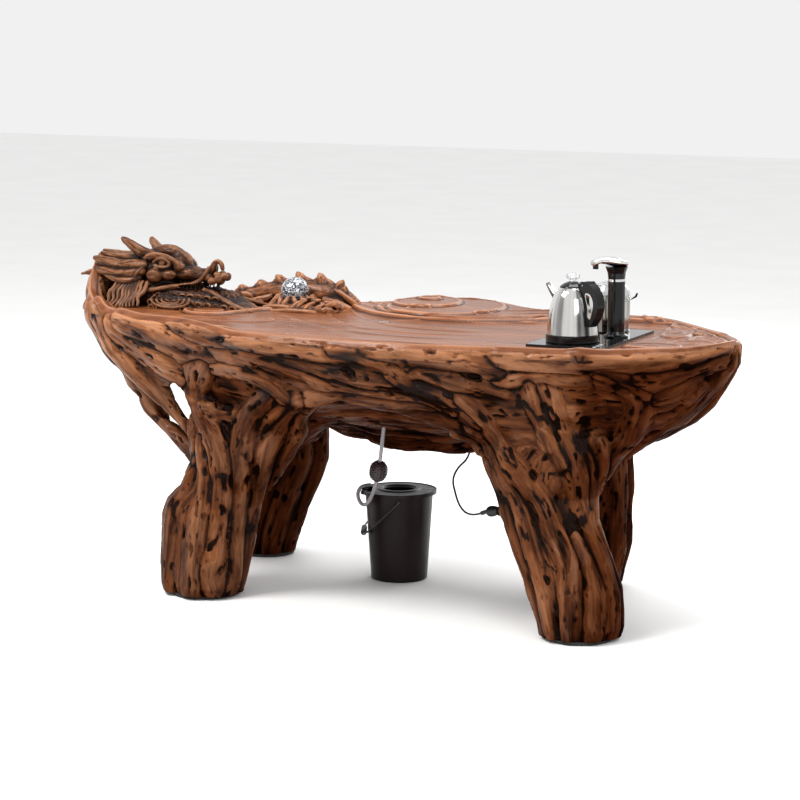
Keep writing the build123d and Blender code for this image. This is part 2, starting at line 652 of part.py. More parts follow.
with BuildPart() as pot_heater:
    with BuildSketch(Plane.XY.offset(PANEL_TOP - PANEL_T - 9)):
        with Locations(at(POT_C[0] - 6, POT_C[1] - 20)):
            Circle(48)
            Circle(8, mode=Mode.SUBTRACT)
    extrude(amount=8.0)
finish(pot_heater, "pot_heater")

with BuildPart() as control_board:
    with BuildSketch(Plane.XY.offset(TOP_Z - HOUSING_H + 6)):
        with Locations(at(510, -200)):
            Rectangle(90, 110)
    extrude(amount=1.6)
    with BuildSketch(Plane.XY.offset(TOP_Z - HOUSING_H + 7.6)):
        with Locations(at(480, -230)):
            Rectangle(22, 26)
        with Locations(at(530, -175)):
            Rectangle(18, 40)
    extrude(amount=14)
    with BuildSketch(Plane.XY.offset(TOP_Z - HOUSING_H + 2)):
        with Locations(at(510, -200)):
            with GridLocations(76, 96, 2, 2):
                Circle(3)
    extrude(amount=4)
finish(control_board, "control_board")

with BuildPart() as water_pump:
    with BuildSketch(Plane.XY.offset(TOP_Z - HOUSING_H + 2)):
        with Locations(at(580, -60)):
            Circle(17)
    extrude(amount=26)
    with BuildSketch(Plane.XY.offset(TOP_Z - HOUSING_H + 28)):
        with Locations(at(580, -60)):
            Circle(12)
    extrude(amount=5)
finish(water_pump, "water_pump")

with BuildPart() as panel_keys:
    # touch keys: a thin raised strip at the front of the glass
    with BuildSketch(Plane.XY.offset(PANEL_TOP)):
        with Locations(at(612, -285)):
            with GridLocations(0, 22, 1, 3):
                Circle(5.0)
    extrude(amount=0.4)
finish(panel_keys, "panel_keys")

# ------------------------------------------------------------------ the column
cx0, cy0 = at(*COLUMN_C)
with BuildPart() as pump_column:
    with BuildSketch(Plane(origin=(cx0, cy0, 0), x_dir=(1, 0, 0), z_dir=(0, -1, 0))):
        with BuildLine():
            Polyline((12, PANEL_TOP - 4), (14.5, PANEL_TOP - 4), (14.5, PANEL_TOP), (31, PANEL_TOP),
                     (31, PANEL_TOP + 4), (COLUMN_R + 1.5, PANEL_TOP + 8), (COLUMN_R, PANEL_TOP + 14),
                     (COLUMN_R, PANEL_TOP + 138), (12, PANEL_TOP + 138), (12, PANEL_TOP - 4))
        make_face()
    revolve(axis=Axis((cx0, cy0, 0), (0, 0, 1)))
finish(pump_column, "pump_column")

with BuildPart() as column_ring:
    with BuildSketch(Plane.XY.offset(PANEL_TOP + 138)):
        with Locations((cx0, cy0)):
            Circle(COLUMN_R + 0.3)
            Circle(12, mode=Mode.SUBTRACT)
    extrude(amount=6)
finish(column_ring, "column_ring")

RING_TOP = PANEL_TOP + 144
spout_dir = Vector(math.cos(math.radians(SPOUT_ANGLE)), math.sin(math.radians(SPOUT_ANGLE)), 0)
spout_side = Vector(-spout_dir.Y, spout_dir.X, 0)
with BuildPart() as spout_neck:
    # black neck, with the spigot that turns in the column
    with BuildSketch(Plane(origin=(cx0, cy0, 0), x_dir=(1, 0, 0), z_dir=(0, -1, 0))):
        with BuildLine():
            Polyline((0, RING_TOP - 34), (11.95, RING_TOP - 34), (11.95, RING_TOP + 0.3), (21, RING_TOP + 0.3),
                     (22.5, RING_TOP + 14), (28.5, RING_TOP + 30), (0, RING_TOP + 30), (0, RING_TOP - 34))
        make_face()
    revolve(axis=Axis((cx0, cy0, 0), (0, 0, 1)))
finish(spout_neck, "spout_neck")

CAP_Z = RING_TOP + 30
with BuildPart() as spout_cap:
    # chrome cap, drawn out into the spout
    for d, zc, w, h in ((-28, CAP_Z + 6, 10, 6), (-16, CAP_Z + 8, 27, 8), (8, CAP_Z + 12, 27, 12),
                        (30, CAP_Z + 16, 18, 10), (50, CAP_Z + 17, 13, 8), (70, CAP_Z + 12, 11, 7)):
        with BuildSketch(Plane(origin=Vector(cx0, cy0, zc) + spout_dir * d, x_dir=spout_side, z_dir=spout_dir)):
            Ellipse(w, h)
    loft(ruled=True)
    add(spout_neck.part, mode=Mode.SUBTRACT)
finish(spout_cap, "spout_cap")

with BuildPart() as spout_nozzle:
    with BuildSketch(Plane(origin=Vector(cx0, cy0, CAP_Z - 3) + spout_dir * 62, x_dir=spout_side, z_dir=(0, 0, 1))):
        Circle(7.0)
        Circle(3.5, mode=Mode.SUBTRACT)
    extrude(amount=14)
    add(spout_cap.part, mode=Mode.SUBTRACT)
    with BuildSketch(Plane.XY.offset(CAP_Z + 12)):
        with Locations((cx0, cy0)):
            Rectangle(400, 400)
    extrude(amount=60, mode=Mode.SUBTRACT)
finish(spout_nozzle, "spout_nozzle")

# ------------------------------------------------------------------ the kettle
kx0, ky0 = at(*KETTLE_C)
hdir = Vector(math.cos(math.radians(KETTLE_HANDLE_ANGLE)), math.sin(math.radians(KETTLE_HANDLE_ANGLE)), 0)
hside = Vector(-hdir.Y, hdir.X, 0)
kettle_axis = Axis((kx0, ky0, 0), (0, 0, 1))


def kz(h):
    return KETTLE_Z + h


with BuildPart() as kettle_base:
    with BuildSketch(Plane(origin=(kx0, ky0, 0), x_dir=(1, 0, 0), z_dir=(0, -1, 0))):
        with BuildLine():
            Polyline((0, kz(0)), (64.5, kz(0)), (66, kz(2)), (66, kz(18)), (64, kz(20)), (0, kz(20)), (0, kz(0)))
        make_face()
    revolve(axis=kettle_axis)
finish(kettle_base, "kettle_base")

with BuildPart() as kettle_body:
    with BuildSketch(Plane(origin=(kx0, ky0, 0), x_dir=(1, 0, 0), z_dir=(0, -1, 0))):
        with BuildLine():
            k1 = Spline((63.5, kz(20)), (61, kz(45)), (57, kz(75)), (51, kz(101)), (43, kz(120)), (33, kz(132)))
            k2 = Spline((31.8, kz(131)), (41.8, kz(119)), (49.5, kz(100.5)), (55.4, kz(75)), (59.4, kz(45)),
                        (61.8, kz(22)))
            Line(k1 @ 1, k2 @ 0)
            Polyline(k2 @ 1, (0, kz(22)), (0, kz(20)), k1 @ 0)
        make_face()
    revolve(axis=kettle_axis)
    # opening to the spout
    spout_hole = Plane(origin=Vector(kx0, ky0, kz(100)) - hdir * 40, z_dir=-hdir)
    with BuildSketch(spout_hole):
        Circle(7.0)
    extrude(amount=30, mode=Mode.SUBTRACT)
finish(kettle_body, "kettle_body")

with BuildPart() as kettle_spout:
    for d, h, r in ((46, 96, 14), (62, 106, 10.5), (78, 119, 8.0), (92, 134, 6.5)):
        with BuildSketch(Plane(origin=Vector(kx0, ky0, kz(h)) - hdir * d, z_dir=(-hdir + Vector(0, 0, 0.75 + (d - 46) / 60)))):
            Circle(r)
    loft()
    for d, h, r in ((44, 94, 11.5), (62, 106, 8.3), (78, 119, 5.9), (94, 136.5, 4.6)):
        with BuildSketch(Plane(origin=Vector(kx0, ky0, kz(h)) - hdir * d, z_dir=(-hdir + Vector(0, 0, 0.75 + (d - 46) / 60)))):
            Circle(r)
    loft(mode=Mode.SUBTRACT)
    # cut back to the outside of the body
    with BuildSketch(Plane(origin=(kx0, ky0, 0), x_dir=(1, 0, 0), z_dir=(0, -1, 0))):
        with BuildLine():
            k1 = Spline((63.5, kz(20)), (61, kz(45)), (57, kz(75)), (51, kz(101)), (43, kz(120)), (33, kz(132)))
            Polyline(k1 @ 1, (0, kz(132)), (0, kz(20)), k1 @ 0)
        make_face()
    revolve(axis=kettle_axis, mode=Mode.SUBTRACT)
finish(kettle_spout, "kettle_spout")

handle_plane = Plane(origin=(kx0, ky0, 0), x_dir=hdir, z_dir=hdir.cross(Vector(0, 0, 1)))
HINGE_D, HINGE_H = 46.0, 141.0
with BuildPart() as kettle_handle:
    with BuildSketch(handle_plane):
        with BuildLine():
            Polyline((36, kz(131)), (40, kz(150)), (64, kz(152)), (70, kz(146)))
            Spline((70, kz(146)), (88, kz(132)), (101, kz(105)), (97, kz(75)), (80, kz(50)), (72, kz(42)))
            Polyline((72, kz(42)), (50, kz(42)), (36, kz(131)))
        make_face()
        with BuildLine():
            Spline((62, kz(124)), (78, kz(118)), (86, kz(100)), (82, kz(78)), (74, kz(62)), (67, kz(64)),
                   (66, kz(84)), (60, kz(106)), periodic=True)
        make_face(mode=Mode.SUBTRACT)
    extrude(amount=12, both=True)
    with BuildSketch(Plane(origin=(kx0, ky0, 0), x_dir=(1, 0, 0), z_dir=(0, -1, 0))):
        with BuildLine():
            k1 = Spline((63.5, kz(20)), (61, kz(45)), (57, kz(75)), (51, kz(101)), (43, kz(120)), (33, kz(132)))
            Polyline(k1 @ 1, (33, kz(160)), (0, kz(160)), (0, kz(20)), k1 @ 0)
        make_face()
    revolve(axis=kettle_axis, mode=Mode.SUBTRACT)
    # slot and bore for the lid's hinge knuckle
    with BuildSketch(handle_plane):
        with Locations((HINGE_D - 6, kz(HINGE_H) + 6)):
            Rectangle(34, 26)
    extrude(amount=6.4, both=True, mode=Mode.SUBTRACT)
    with BuildSketch(handle_plane):
        with Locations((HINGE_D, kz(HINGE_H))):
            Circle(1.5)
    extrude(amount=20, both=True, mode=Mode.SUBTRACT)
finish(kettle_handle, "kettle_handle")

with BuildPart() as handle_trim:
    # bright strip inside the grip opening
    with BuildSketch(handle_plane):
        with BuildLine():
            Spline((62, kz(124)), (78, kz(118)), (86, kz(100)), (82, kz(78)), (74, kz(62)), (67, kz(64)),
                   (66, kz(84)), (60, kz(106)), periodic=True)
        make_face()
        with BuildLine():
            Spline((63, kz(121)), (76.5, kz(115.5)), (84, kz(99.5)), (80.2, kz(78.8)), (73.4, kz(64.8)),
                   (69, kz(66)), (68, kz(84)), (62.6, kz(105.5)), periodic=True)
        make_face(mode=Mode.SUBTRACT)
    extrude(amount=12.4, both=True)
    add(kettle_body.part, mode=Mode.SUBTRACT)
finish(handle_trim, "handle_trim")

with BuildPart() as kettle_lid:
    with BuildSketch(Plane(origin=(kx0, ky0, 0), x_dir=(1, 0, 0), z_dir=(0, -1, 0))):
        with BuildLine():
            Polyline((0, kz(130.5)), (31.2, kz(130.5)), (31.2, kz(132.4)), (32.6, kz(132.6)), (31, kz(136)),
                     (22, kz(142)), (12, kz(146)), (0, kz(146)), (0, kz(130.5)))
        make_face()
    revolve(axis=kettle_axis)
    with BuildSketch(handle_plane):
        with BuildLine():
            Polyline((22, kz(137)), (HINGE_D, kz(HINGE_H - 4.5)), (HINGE_D, kz(HINGE_H + 4.5)),
                     (22, kz(141)), (22, kz(137)))
        make_face()
        with Locations((HINGE_D, kz(HINGE_H))):
            Circle(4.5)
    extrude(amount=6.0, both=True)
    with BuildSketch(handle_plane):
        with Locations((HINGE_D, kz(HINGE_H))):
            Circle(1.55)
    extrude(amount=20, both=True, mode=Mode.SUBTRACT)
finish(kettle_lid, "kettle_lid")

with BuildPart() as lid_pin:
    with BuildSketch(handle_plane):
        with Locations((HINGE_D, kz(HINGE_H))):
            Circle(1.5)
    extrude(amount=11.8, both=True)
finish(lid_pin, "lid_pin")

with BuildPart() as kettle_knob:
    with BuildSketch(Plane(origin=(kx0, ky0, 0), x_dir=(1, 0, 0), z_dir=(0, -1, 0))):
        with BuildLine():
            Polyline((0, kz(146)), (8, kz(146)), (8, kz(151)), (15, kz(154)), (18, kz(159)), (16, kz(164)),
                     (9, kz(167)), (0, kz(167)), (0, kz(146)))
        make_face()
    revolve(axis=kettle_axis)
finish(kettle_knob, "kettle_knob")

# --------------------------------------------------------------------- the pot
qx, qy = at(*POT_C)
pot_axis = Axis((qx, qy, 0), (0, 0, 1))
with BuildPart() as pot_body:
    with BuildSketch(Plane(origin=(qx, qy, 0), x_dir=(1, 0, 0), z_dir=(0, -1, 0))):
        with BuildLine():
            Polyline((0, POT_Z), (46, POT_Z), (49, POT_Z + 3), (50, POT_Z + 78), (54.5, POT_Z + 80),
                     (54.5, POT_Z + 83), (49.5, POT_Z + 83), (48, POT_Z + 79), (47.6, POT_Z + 4), (0, POT_Z + 2),
                     (0, POT_Z))
        make_face()
    revolve(axis=pot_axis)
finish(pot_body, "pot_body")

with BuildPart() as pot_lug:
    # small upright tab on the rim
    with BuildSketch(Plane(origin=(qx, qy, 0), x_dir=(math.cos(0.35), math.sin(0.35), 0),
                           z_dir=(math.sin(0.35), -math.cos(0.35), 0))):
        with BuildLine():
            Polyline((54.5, POT_Z + 80), (66, POT_Z + 86), (69, POT_Z + 95), (65, POT_Z + 96),
                     (61, POT_Z + 88), (54.5, POT_Z + 83), (54.5, POT_Z + 80))
        make_face()
    extrude(amount=6, both=True)
finish(pot_lug, "pot_lug")

with BuildPart() as pot_lid:
    with BuildSketch(Plane(origin=(qx, qy, 0), x_dir=(1, 0, 0), z_dir=(0, -1, 0))):
        with BuildLine():
            Polyline((50.5, POT_Z + 83.3), (50.5, POT_Z + 88), (47, POT_Z + 105), (38, POT_Z + 118),
                     (20, POT_Z + 124), (0, POT_Z + 125), (0, POT_Z + 122), (19, POT_Z + 121),
                     (36, POT_Z + 115.5), (44, POT_Z + 104), (47.4, POT_Z + 87), (47.4, POT_Z + 83.3),
                     (50.5, POT_Z + 83.3))
        make_face()
    revolve(axis=pot_axis)
finish(pot_lid, "pot_lid")

# -------------------------------------------------------------- the mains lead
gx, gy = at(CORD_ROUTE[0][0], CORD_ROUTE[0][1])
with BuildPart() as cord_grommet:
    with BuildSketch(Plane.XY.offset(BELLY_Z)):
        with Locations((gx, gy)):
            Circle(7.0)
            Circle(CORD_D / 2, mode=Mode.SUBTRACT)
    extrude(amount=16)
finish(cord_grommet, "cord_grommet")

with BuildPart() as power_cord:
    with BuildLine() as cord_line:
        FilletPolyline([at3(p) for p in CORD_ROUTE], radius=fillet_radii(CORD_ROUTE))
    with BuildSketch(Plane(origin=cord_line.line @ 0, z_dir=cord_line.line % 0)):
        Circle(CORD_D / 2)
    sweep(path=cord_line.line)
finish(power_cord, "power_cord")
print("cord radii", [round(r) for r in fillet_radii(CORD_ROUTE)],
      "length", round(path_length(cord_line.line), 1),
      "volume ratio", round(power_cord.part.volume / (path_length(cord_line.line) * math.pi * CORD_D ** 2 / 4), 4))

plug_a = Vector(*at3(CORD_ROUTE[-1]))
plug_dir = (plug_a - Vector(*at3(CORD_ROUTE[-2]))).normalized()
plug_flat = Vector(plug_dir.X, plug_dir.Y, 0.12).normalized()
with BuildPart() as plug_body:
    # tapered strain relief, then the moulded body
    up = Vector(0, 0, 1)
    across = up.cross(plug_flat).normalized()
    for d, w, h in ((0, 4.2, 4.2), (12, 6.0, 5.5), (24, 9.0, 8.0), (29, 16.0, 12.0), (45, 17.5, 13.0),
                    (63, 17.0, 12.5)):
        with BuildSketch(Plane(origin=plug_a + plug_dir * min(d, 24) + plug_flat * max(0.0, d - 24),
                               x_dir=across, z_dir=plug_dir if d < 24 else plug_flat)):
            Ellipse(w, h)
    loft()
finish(plug_body, "plug_body")

plug_face = plug_a + plug_dir * 24 + plug_flat * 39
with BuildPart() as plug_pins:
    for s in (-6.5, 6.5):
        with BuildSketch(Plane(origin=plug_face + across * s, x_dir=across, z_dir=plug_flat)):
            Rectangle(1.6, 6.3)
        extrude(amount=17)
finish(plug_pins, "plug_pins")
print("plug end", plug_face, "pins end", plug_face + plug_flat * 17)
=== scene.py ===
import math
import numpy as np
import bpy
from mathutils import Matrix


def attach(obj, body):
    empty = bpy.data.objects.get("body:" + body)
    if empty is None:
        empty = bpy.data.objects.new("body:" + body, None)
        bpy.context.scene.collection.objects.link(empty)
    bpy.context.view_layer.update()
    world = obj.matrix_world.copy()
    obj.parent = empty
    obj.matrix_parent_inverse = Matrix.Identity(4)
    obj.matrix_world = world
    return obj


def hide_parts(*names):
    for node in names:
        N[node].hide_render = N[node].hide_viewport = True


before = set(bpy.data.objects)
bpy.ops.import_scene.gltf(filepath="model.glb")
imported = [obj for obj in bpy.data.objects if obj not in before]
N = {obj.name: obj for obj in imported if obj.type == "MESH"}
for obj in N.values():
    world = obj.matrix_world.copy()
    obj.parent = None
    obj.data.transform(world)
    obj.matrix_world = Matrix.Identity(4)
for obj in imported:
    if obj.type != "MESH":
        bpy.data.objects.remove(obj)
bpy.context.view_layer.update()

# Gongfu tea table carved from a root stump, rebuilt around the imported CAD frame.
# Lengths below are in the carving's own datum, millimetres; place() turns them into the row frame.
import openvdb as vdb
from mathutils import Matrix, Vector

DX, DY = 35.902, 5.373


def place(x, y, z):
    return ((x + DX) / 1000.0, (y + DY) / 1000.0, z / 1000.0)


def to_row(P):
    P = np.array(P, float)
    P[:, 0] += DX
    P[:, 1] += DY
    return P / 1000.0


# ------------------------------------------------------------------ camera
cam_data = bpy.data.cameras.new("photo_camera")
cam_data.sensor_width = 36.0
cam_data.lens = 131.85
cam_data.clip_start, cam_data.clip_end = 0.1, 60.0
cam = bpy.data.objects.new("photo_camera", cam_data)
bpy.context.collection.objects.link(cam)
cam.location = (3.165902, -6.804627, 1.70)
cam.rotation_euler = (math.radians(90.0 - 9.0), 0.0, math.radians(25.0))
bpy.context.scene.camera = cam


# ------------------------------------------------------------------ cords
def link(obj):
    bpy.context.collection.objects.link(obj)
    return obj


def nurbs_cord(name, route, diameter, resolution=12):
    curve = bpy.data.curves.new(name, "CURVE")
    curve.dimensions = "3D"
    spline = curve.splines.new("NURBS")
    spline.points.add(len(route) - 1)
    for point, (x, y, z) in zip(spline.points, route):
        point.co = (*place(x, y, z), 1.0)
        point.radius = 0.01
    spline.order_u = 3
    spline.use_endpoint_u = True
    spline.resolution_u = resolution
    curve.bevel_depth = diameter / 2000.0 / 0.01
    curve.bevel_resolution = 6
    curve.use_fill_caps = True
    return link(bpy.data.objects.new(name, curve))


HOSE = [(-67.9, -50, 450.1), (-92.3, -20, 354), (-114.9, 0, 279.9), (-141, 24, 238.9), (-167.5, 50, 212.8),
        (-194.7, 76, 208.4), (-215, 96, 223), (-219.4, 110, 240.3), (-210.5, 123, 250.8), (-197.4, 139, 250.2)]
CORD = [(109.6, 100, 372), (106, 95, 350.5), (88, 70, 331), (90.9, 28, 306), (114.1, -6, 280.7),
        (139.1, -40, 257.2), (168, -64, 240.4), (200.6, -78, 239.7), (222, -84, 248)]
hose = nurbs_cord("drain_hose_tube", HOSE, 10.0)
cord = nurbs_cord("mains_lead", CORD, 5.5)
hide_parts("drain_hose")
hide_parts("power_cord")
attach(hose, "root")
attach(cord, "root")

# ------------------------------------------------------------------ floor and light
bpy.ops.mesh.primitive_plane_add(size=30.0, location=(0, 0, -0.0005))
floor = bpy.context.object
floor.name = "studio_floor"


def area(name, loc, target, size, power, colour=(1, 1, 1), size_y=None):
    light = bpy.data.lights.new(name, "AREA")
    light.energy = power
    light.color = colour
    light.shape = "RECTANGLE"
    light.size = size
    light.size_y = size_y or size
    obj = link(bpy.data.objects.new(name, light))
    obj.location = loc
    d = Vector(target) - Vector(loc)
    obj.rotation_euler = d.to_track_quat("-Z", "Y").to_euler()
    return obj


area("key_softbox", (-2.0, -2.3, 4.3), (0.0, 0.0, 0.55), 1.9, 218.0, (1.0, 0.985, 0.96))
area("fill_softbox", (3.4, -3.4, 2.6), (0.1, 0.0, 0.45), 1.8, 55.0, (0.97, 0.985, 1.0))
area("top_softbox", (0.5, 0.9, 4.4), (0.1, 0.0, 0.6), 2.4, 120.0)
area("rear_softbox", (0.8, 4.6, 2.2), (0.0, 0.0, 0.5), 2.2, 50.0)

world = bpy.data.worlds.new("studio")
bpy.context.scene.world = world
world.use_nodes = True
bg = world.node_tree.nodes["Background"]
bg.inputs["Color"].default_value = (1.0, 1.0, 1.0, 1.0)
bg.inputs["Strength"].default_value = 0.88
scene = bpy.context.scene
scene.view_settings.view_transform = "Standard"


# ------------------------------------------------------------------ materials
class Mat:
    """A small node-tree writer round one Principled shader."""

    def __init__(s, name):
        s.m = bpy.data.materials.new(name)
        s.m.use_nodes = True
        s.t = s.m.node_tree
        s.t.nodes.clear()
        s.out = s.t.nodes.new("ShaderNodeOutputMaterial")
        s.b = s.t.nodes.new("ShaderNodeBsdfPrincipled")
        s.t.links.new(s.b.outputs[0], s.out.inputs["Surface"])
        s.tc = None

    def node(s, kind, **props):
        n = s.t.nodes.new(kind)
        for k, v in props.items():
            setattr(n, k, v)
        return n

    def put(s, sock, v):
        if isinstance(v, bpy.types.NodeSocket):
            s.t.links.new(v, sock)
        elif isinstance(v, tuple) and len(v) == 3 and sock.type == "RGBA":
            sock.default_value = (*v, 1.0)
        else:
            sock.default_value = v
        return s

    def set(s, **kw):
        for k, v in kw.items():
            s.put(s.b.inputs[k.replace("_", " ")], v)
        return s

    def obj(s):
        if s.tc is None:
            s.tc = s.node("ShaderNodeTexCoord")
        return s.tc.outputs["Object"]

    def attr(s, name, out="Fac"):
        n = s.node("ShaderNodeAttribute", attribute_name=name)
        return n.outputs[out]

    def mapping(s, vec, scale=(1, 1, 1), rot=(0, 0, 0), loc=(0, 0, 0)):
        n = s.node("ShaderNodeMapping")
        s.put(n.inputs["Vector"], vec)
        n.inputs["Scale"].default_value = scale
        n.inputs["Rotation"].default_value = rot
        n.inputs["Location"].default_value = loc
        return n.outputs[0]

    def noise(s, vec, scale, detail=3.0, rough=0.5, dist=0.0, out=0):
        n = s.node("ShaderNodeTexNoise")
        s.put(n.inputs["Vector"], vec)
        n.inputs["Scale"].default_value = scale
        n.inputs["Detail"].default_value = detail
        n.inputs["Roughness"].default_value = rough
        n.inputs["Distortion"].default_value = dist
        return n.outputs[out]

    def voronoi(s, vec, scale, feature="F1", rand=1.0, out="Distance"):
        n = s.node("ShaderNodeTexVoronoi", feature=feature)
        s.put(n.inputs["Vector"], vec)
        n.inputs["Scale"].default_value = scale
        n.inputs["Randomness"].default_value = rand
        return n.outputs[out]

    def wave(s, vec, scale, dist=0.0, detail=2.0, dscale=1.0, direction="X", kind="BANDS"):
        n = s.node("ShaderNodeTexWave", wave_type=kind)
        if kind == "BANDS":
            n.bands_direction = direction
        else:
            n.rings_direction = direction
        s.put(n.inputs["Vector"], vec)
        n.inputs["Scale"].default_value = scale
        n.inputs["Distortion"].default_value = dist
        n.inputs["Detail"].default_value = detail
        n.inputs["Detail Scale"].default_value = dscale
        return n.outputs["Fac"]

    def warp(s, vec, amount, scale=9.0):
        """The vector, pushed about by a coloured noise."""
        n = s.noise(vec, scale, 2.0, 0.5, 0.0, out=1)
        k = s.node("ShaderNodeVectorMath", operation="MULTIPLY_ADD")
        s.put(k.inputs[0], n)
        k.inputs[1].default_value = (amount, amount, amount)
        s.put(k.inputs[2], vec)
        return k.outputs[0]

    def grey(s, colour):
        n = s.node("ShaderNodeRGBToBW")
        s.put(n.inputs[0], colour)
        return n.outputs[0]

    def math(s, op, a, b=0.0, c=None, clamp=False):
        n = s.node("ShaderNodeMath", operation=op, use_clamp=clamp)
        s.put(n.inputs[0], a)
        s.put(n.inputs[1], b)
        if c is not None:
            s.put(n.inputs[2], c)
        return n.outputs[0]

    def rng(s, v, a, b, c=0.0, d=1.0, smooth=False):
        n = s.node("ShaderNodeMapRange", interpolation_type="SMOOTHSTEP" if smooth else "LINEAR")
        s.put(n.inputs["Value"], v)
        n.inputs["From Min"].default_value = a
        n.inputs["From Max"].default_value = b
        n.inputs["To Min"].default_value = c
        n.inputs["To Max"].default_value = d
        return n.outputs["Result"]

    def ramp(s, v, *stops, mode="LINEAR"):
        n = s.node("ShaderNodeValToRGB")
        s.put(n.inputs["Fac"], v)
        r = n.color_ramp
        r.interpolation = mode
        while len(r.elements) < len(stops):
            r.elements.new(0.5)
        for e, (p, col) in zip(r.elements, stops):
            e.position = p
            e.color = (*col, 1.0)
        return n.outputs["Color"]

    def mix(s, f, a, b, mode="MIX"):
        n = s.node("ShaderNodeMix", data_type="RGBA", blend_type=mode)
        s.put(n.inputs["Factor"], f)
        s.put(n.inputs[6], a)
        s.put(n.inputs[7], b)
        return n.outputs[2]

    def bump(s, height, strength=0.3, distance=0.001, normal=None):
        n = s.node("ShaderNodeBump")
        s.put(n.inputs["Height"], height)
        n.inputs["Strength"].default_value = strength
        n.inputs["Distance"].default_value = distance
        if normal is not None:
            s.put(n.inputs["Normal"], normal)
        return n.outputs[0]


def root_wood(name, patina=0.62, top=True, deep=1.0, coat=0.06, spec=0.10):
    """Varnished, darkly stained root wood; fibre coordinates, hollows and the smooth tea field come from the mesh."""
    m = Mat(name)
    g = m.attr("grain", "Vector")
    cav = m.attr("cav")
    a = m.noise(m.mapping(g, (34, 34, 5.0)), 1.0, 5.0, 0.62, 0.6)
    b = m.noise(m.mapping(g, (150, 150, 9.0)), 1.0, 4.0, 0.6, 0.35)
    c = m.noise(m.mapping(g, (12, 12, 1.6)), 1.0, 3.0, 0.55, 0.8)
    blot = m.noise(m.obj(), 6.0, 4.0, 0.6, 0.5)
    t = m.math("MULTIPLY_ADD", a, 0.55, m.math("MULTIPLY", b, 0.30))
    t = m.math("MULTIPLY_ADD", c, 0.35, t)
    t = m.math("MULTIPLY_ADD", blot, 0.25, t)
    t = m.rng(t, 0.50, 0.98)
    shades = ((0.0, (0.022, 0.0068, 0.0026)), (0.26, (0.074, 0.0225, 0.0076)), (0.50, (0.168, 0.0550, 0.0185)),
              (0.76, (0.285, 0.102, 0.036)), (1.0, (0.47, 0.205, 0.088)))
    col = m.ramp(t, *[(at, tuple(v * deep for v in c_)) for at, c_ in shades])
    # ridges rubbed paler, part worn patina and part painted highlight; hollows stained nearly black
    dark = m.rng(m.math("MULTIPLY_ADD", blot, 0.20, cav), 0.16, patina, 1.0, 0.0, True)
    streak = m.rng(a, 0.36, 0.52, 0.65, 0.0, True)
    dark = m.math("MAXIMUM", dark, m.math("MULTIPLY", streak, m.rng(cav, 0.35, 0.75, 1.0, 0.25)))
    col = m.mix(m.math("MULTIPLY", dark, 0.96), col, (0.0085, 0.0032, 0.0020))
    rub_and_highlight = m.rng(cav, 0.62, 0.92, 0.0, 0.75, True)
    col = m.mix(m.math("MULTIPLY", rub_and_highlight, m.rng(a, 0.35, 0.65)), col, tuple(v * deep ** 0.5 for v in (0.42, 0.195, 0.098)))
    # short worm-eaten pits lying along the fibre
    worm = m.voronoi(m.mapping(m.warp(g, 0.006), (72, 72, 17)), 1.0)
    worm = m.math("MULTIPLY", m.rng(worm, 0.12, 0.26, 1.0, 0.0, True), m.rng(m.noise(m.obj(), 13.0, 3.0, 0.6), 0.51, 0.63, 0.0, 1.0, True))
    if top:
        worm = m.math("MULTIPLY", worm, m.rng(m.attr("top"), 0, 1, 1.0, 0.0))
    col = m.mix(m.math("MULTIPLY", worm, 0.88), col, (0.011, 0.0042, 0.0026))
    rough = m.rng(m.math("MULTIPLY_ADD", b, 0.5, m.math("MULTIPLY", blot, 0.5)), 0.3, 0.7, 0.22, 0.36)
    rough = m.math("MULTIPLY", rough, m.rng(cav, 0.30, 0.72, 1.5, 0.88))
    if top:
        top_ = m.attr("top")
        w = m.wave(m.mapping(g, (9, 9, 0.9)), 1.0, 5.0, 3.0, 1.2)
        t2 = m.math("MULTIPLY_ADD", c, 0.55, m.math("MULTIPLY_ADD", w, 0.10, m.math("MULTIPLY", b, 0.28)))
        t2 = m.rng(m.math("MULTIPLY_ADD", blot, 0.20, t2), 0.36, 0.86)
        ct = m.ramp(t2, (0.0, (0.090, 0.027, 0.0095)), (0.35, (0.150, 0.048, 0.0170)), (0.65, (0.215, 0.074, 0.028)), (1.0, (0.32, 0.125, 0.052)))
        # on the tea field, relief hollows stained dark and relief ridges painted pale as highlights
        ct = m.mix(m.rng(cav, 0.28, 0.50, 0.90, 0.0, True), ct, (0.034, 0.012, 0.0065))
        ct = m.mix(m.rng(cav, 0.62, 0.90, 0.0, 0.80, True), ct, (0.42, 0.205, 0.118))
        # painted shade from the mesh attribute, multiplied into the colour; rougher where it is deepest
        col = m.mix(m.attr("painted_shade"), col, (0.235, 0.145, 0.088), "MULTIPLY")
        col = m.mix(top_, col, ct)
        rough = m.math("MULTIPLY", rough, m.rng(top_, 0, 1, 1.0, 0.82))
        rough = m.math("MULTIPLY", rough, m.rng(m.attr("painted_shade"), 0.45, 1.0, 1.0, 1.7))
    m.set(Base_Color=col, Roughness=rough)
    m.set(Coat_Weight=coat, Coat_Roughness=0.16, Specular_IOR_Level=spec)
    n1 = m.bump(b, 0.30, 0.0014)
    n2 = m.bump(a, 0.28, 0.004, n1)
    n2 = m.bump(m.math("SUBTRACT", 1.0, worm), 0.6, 0.004, n2)
    m.set(Normal=n2)
    return m.m


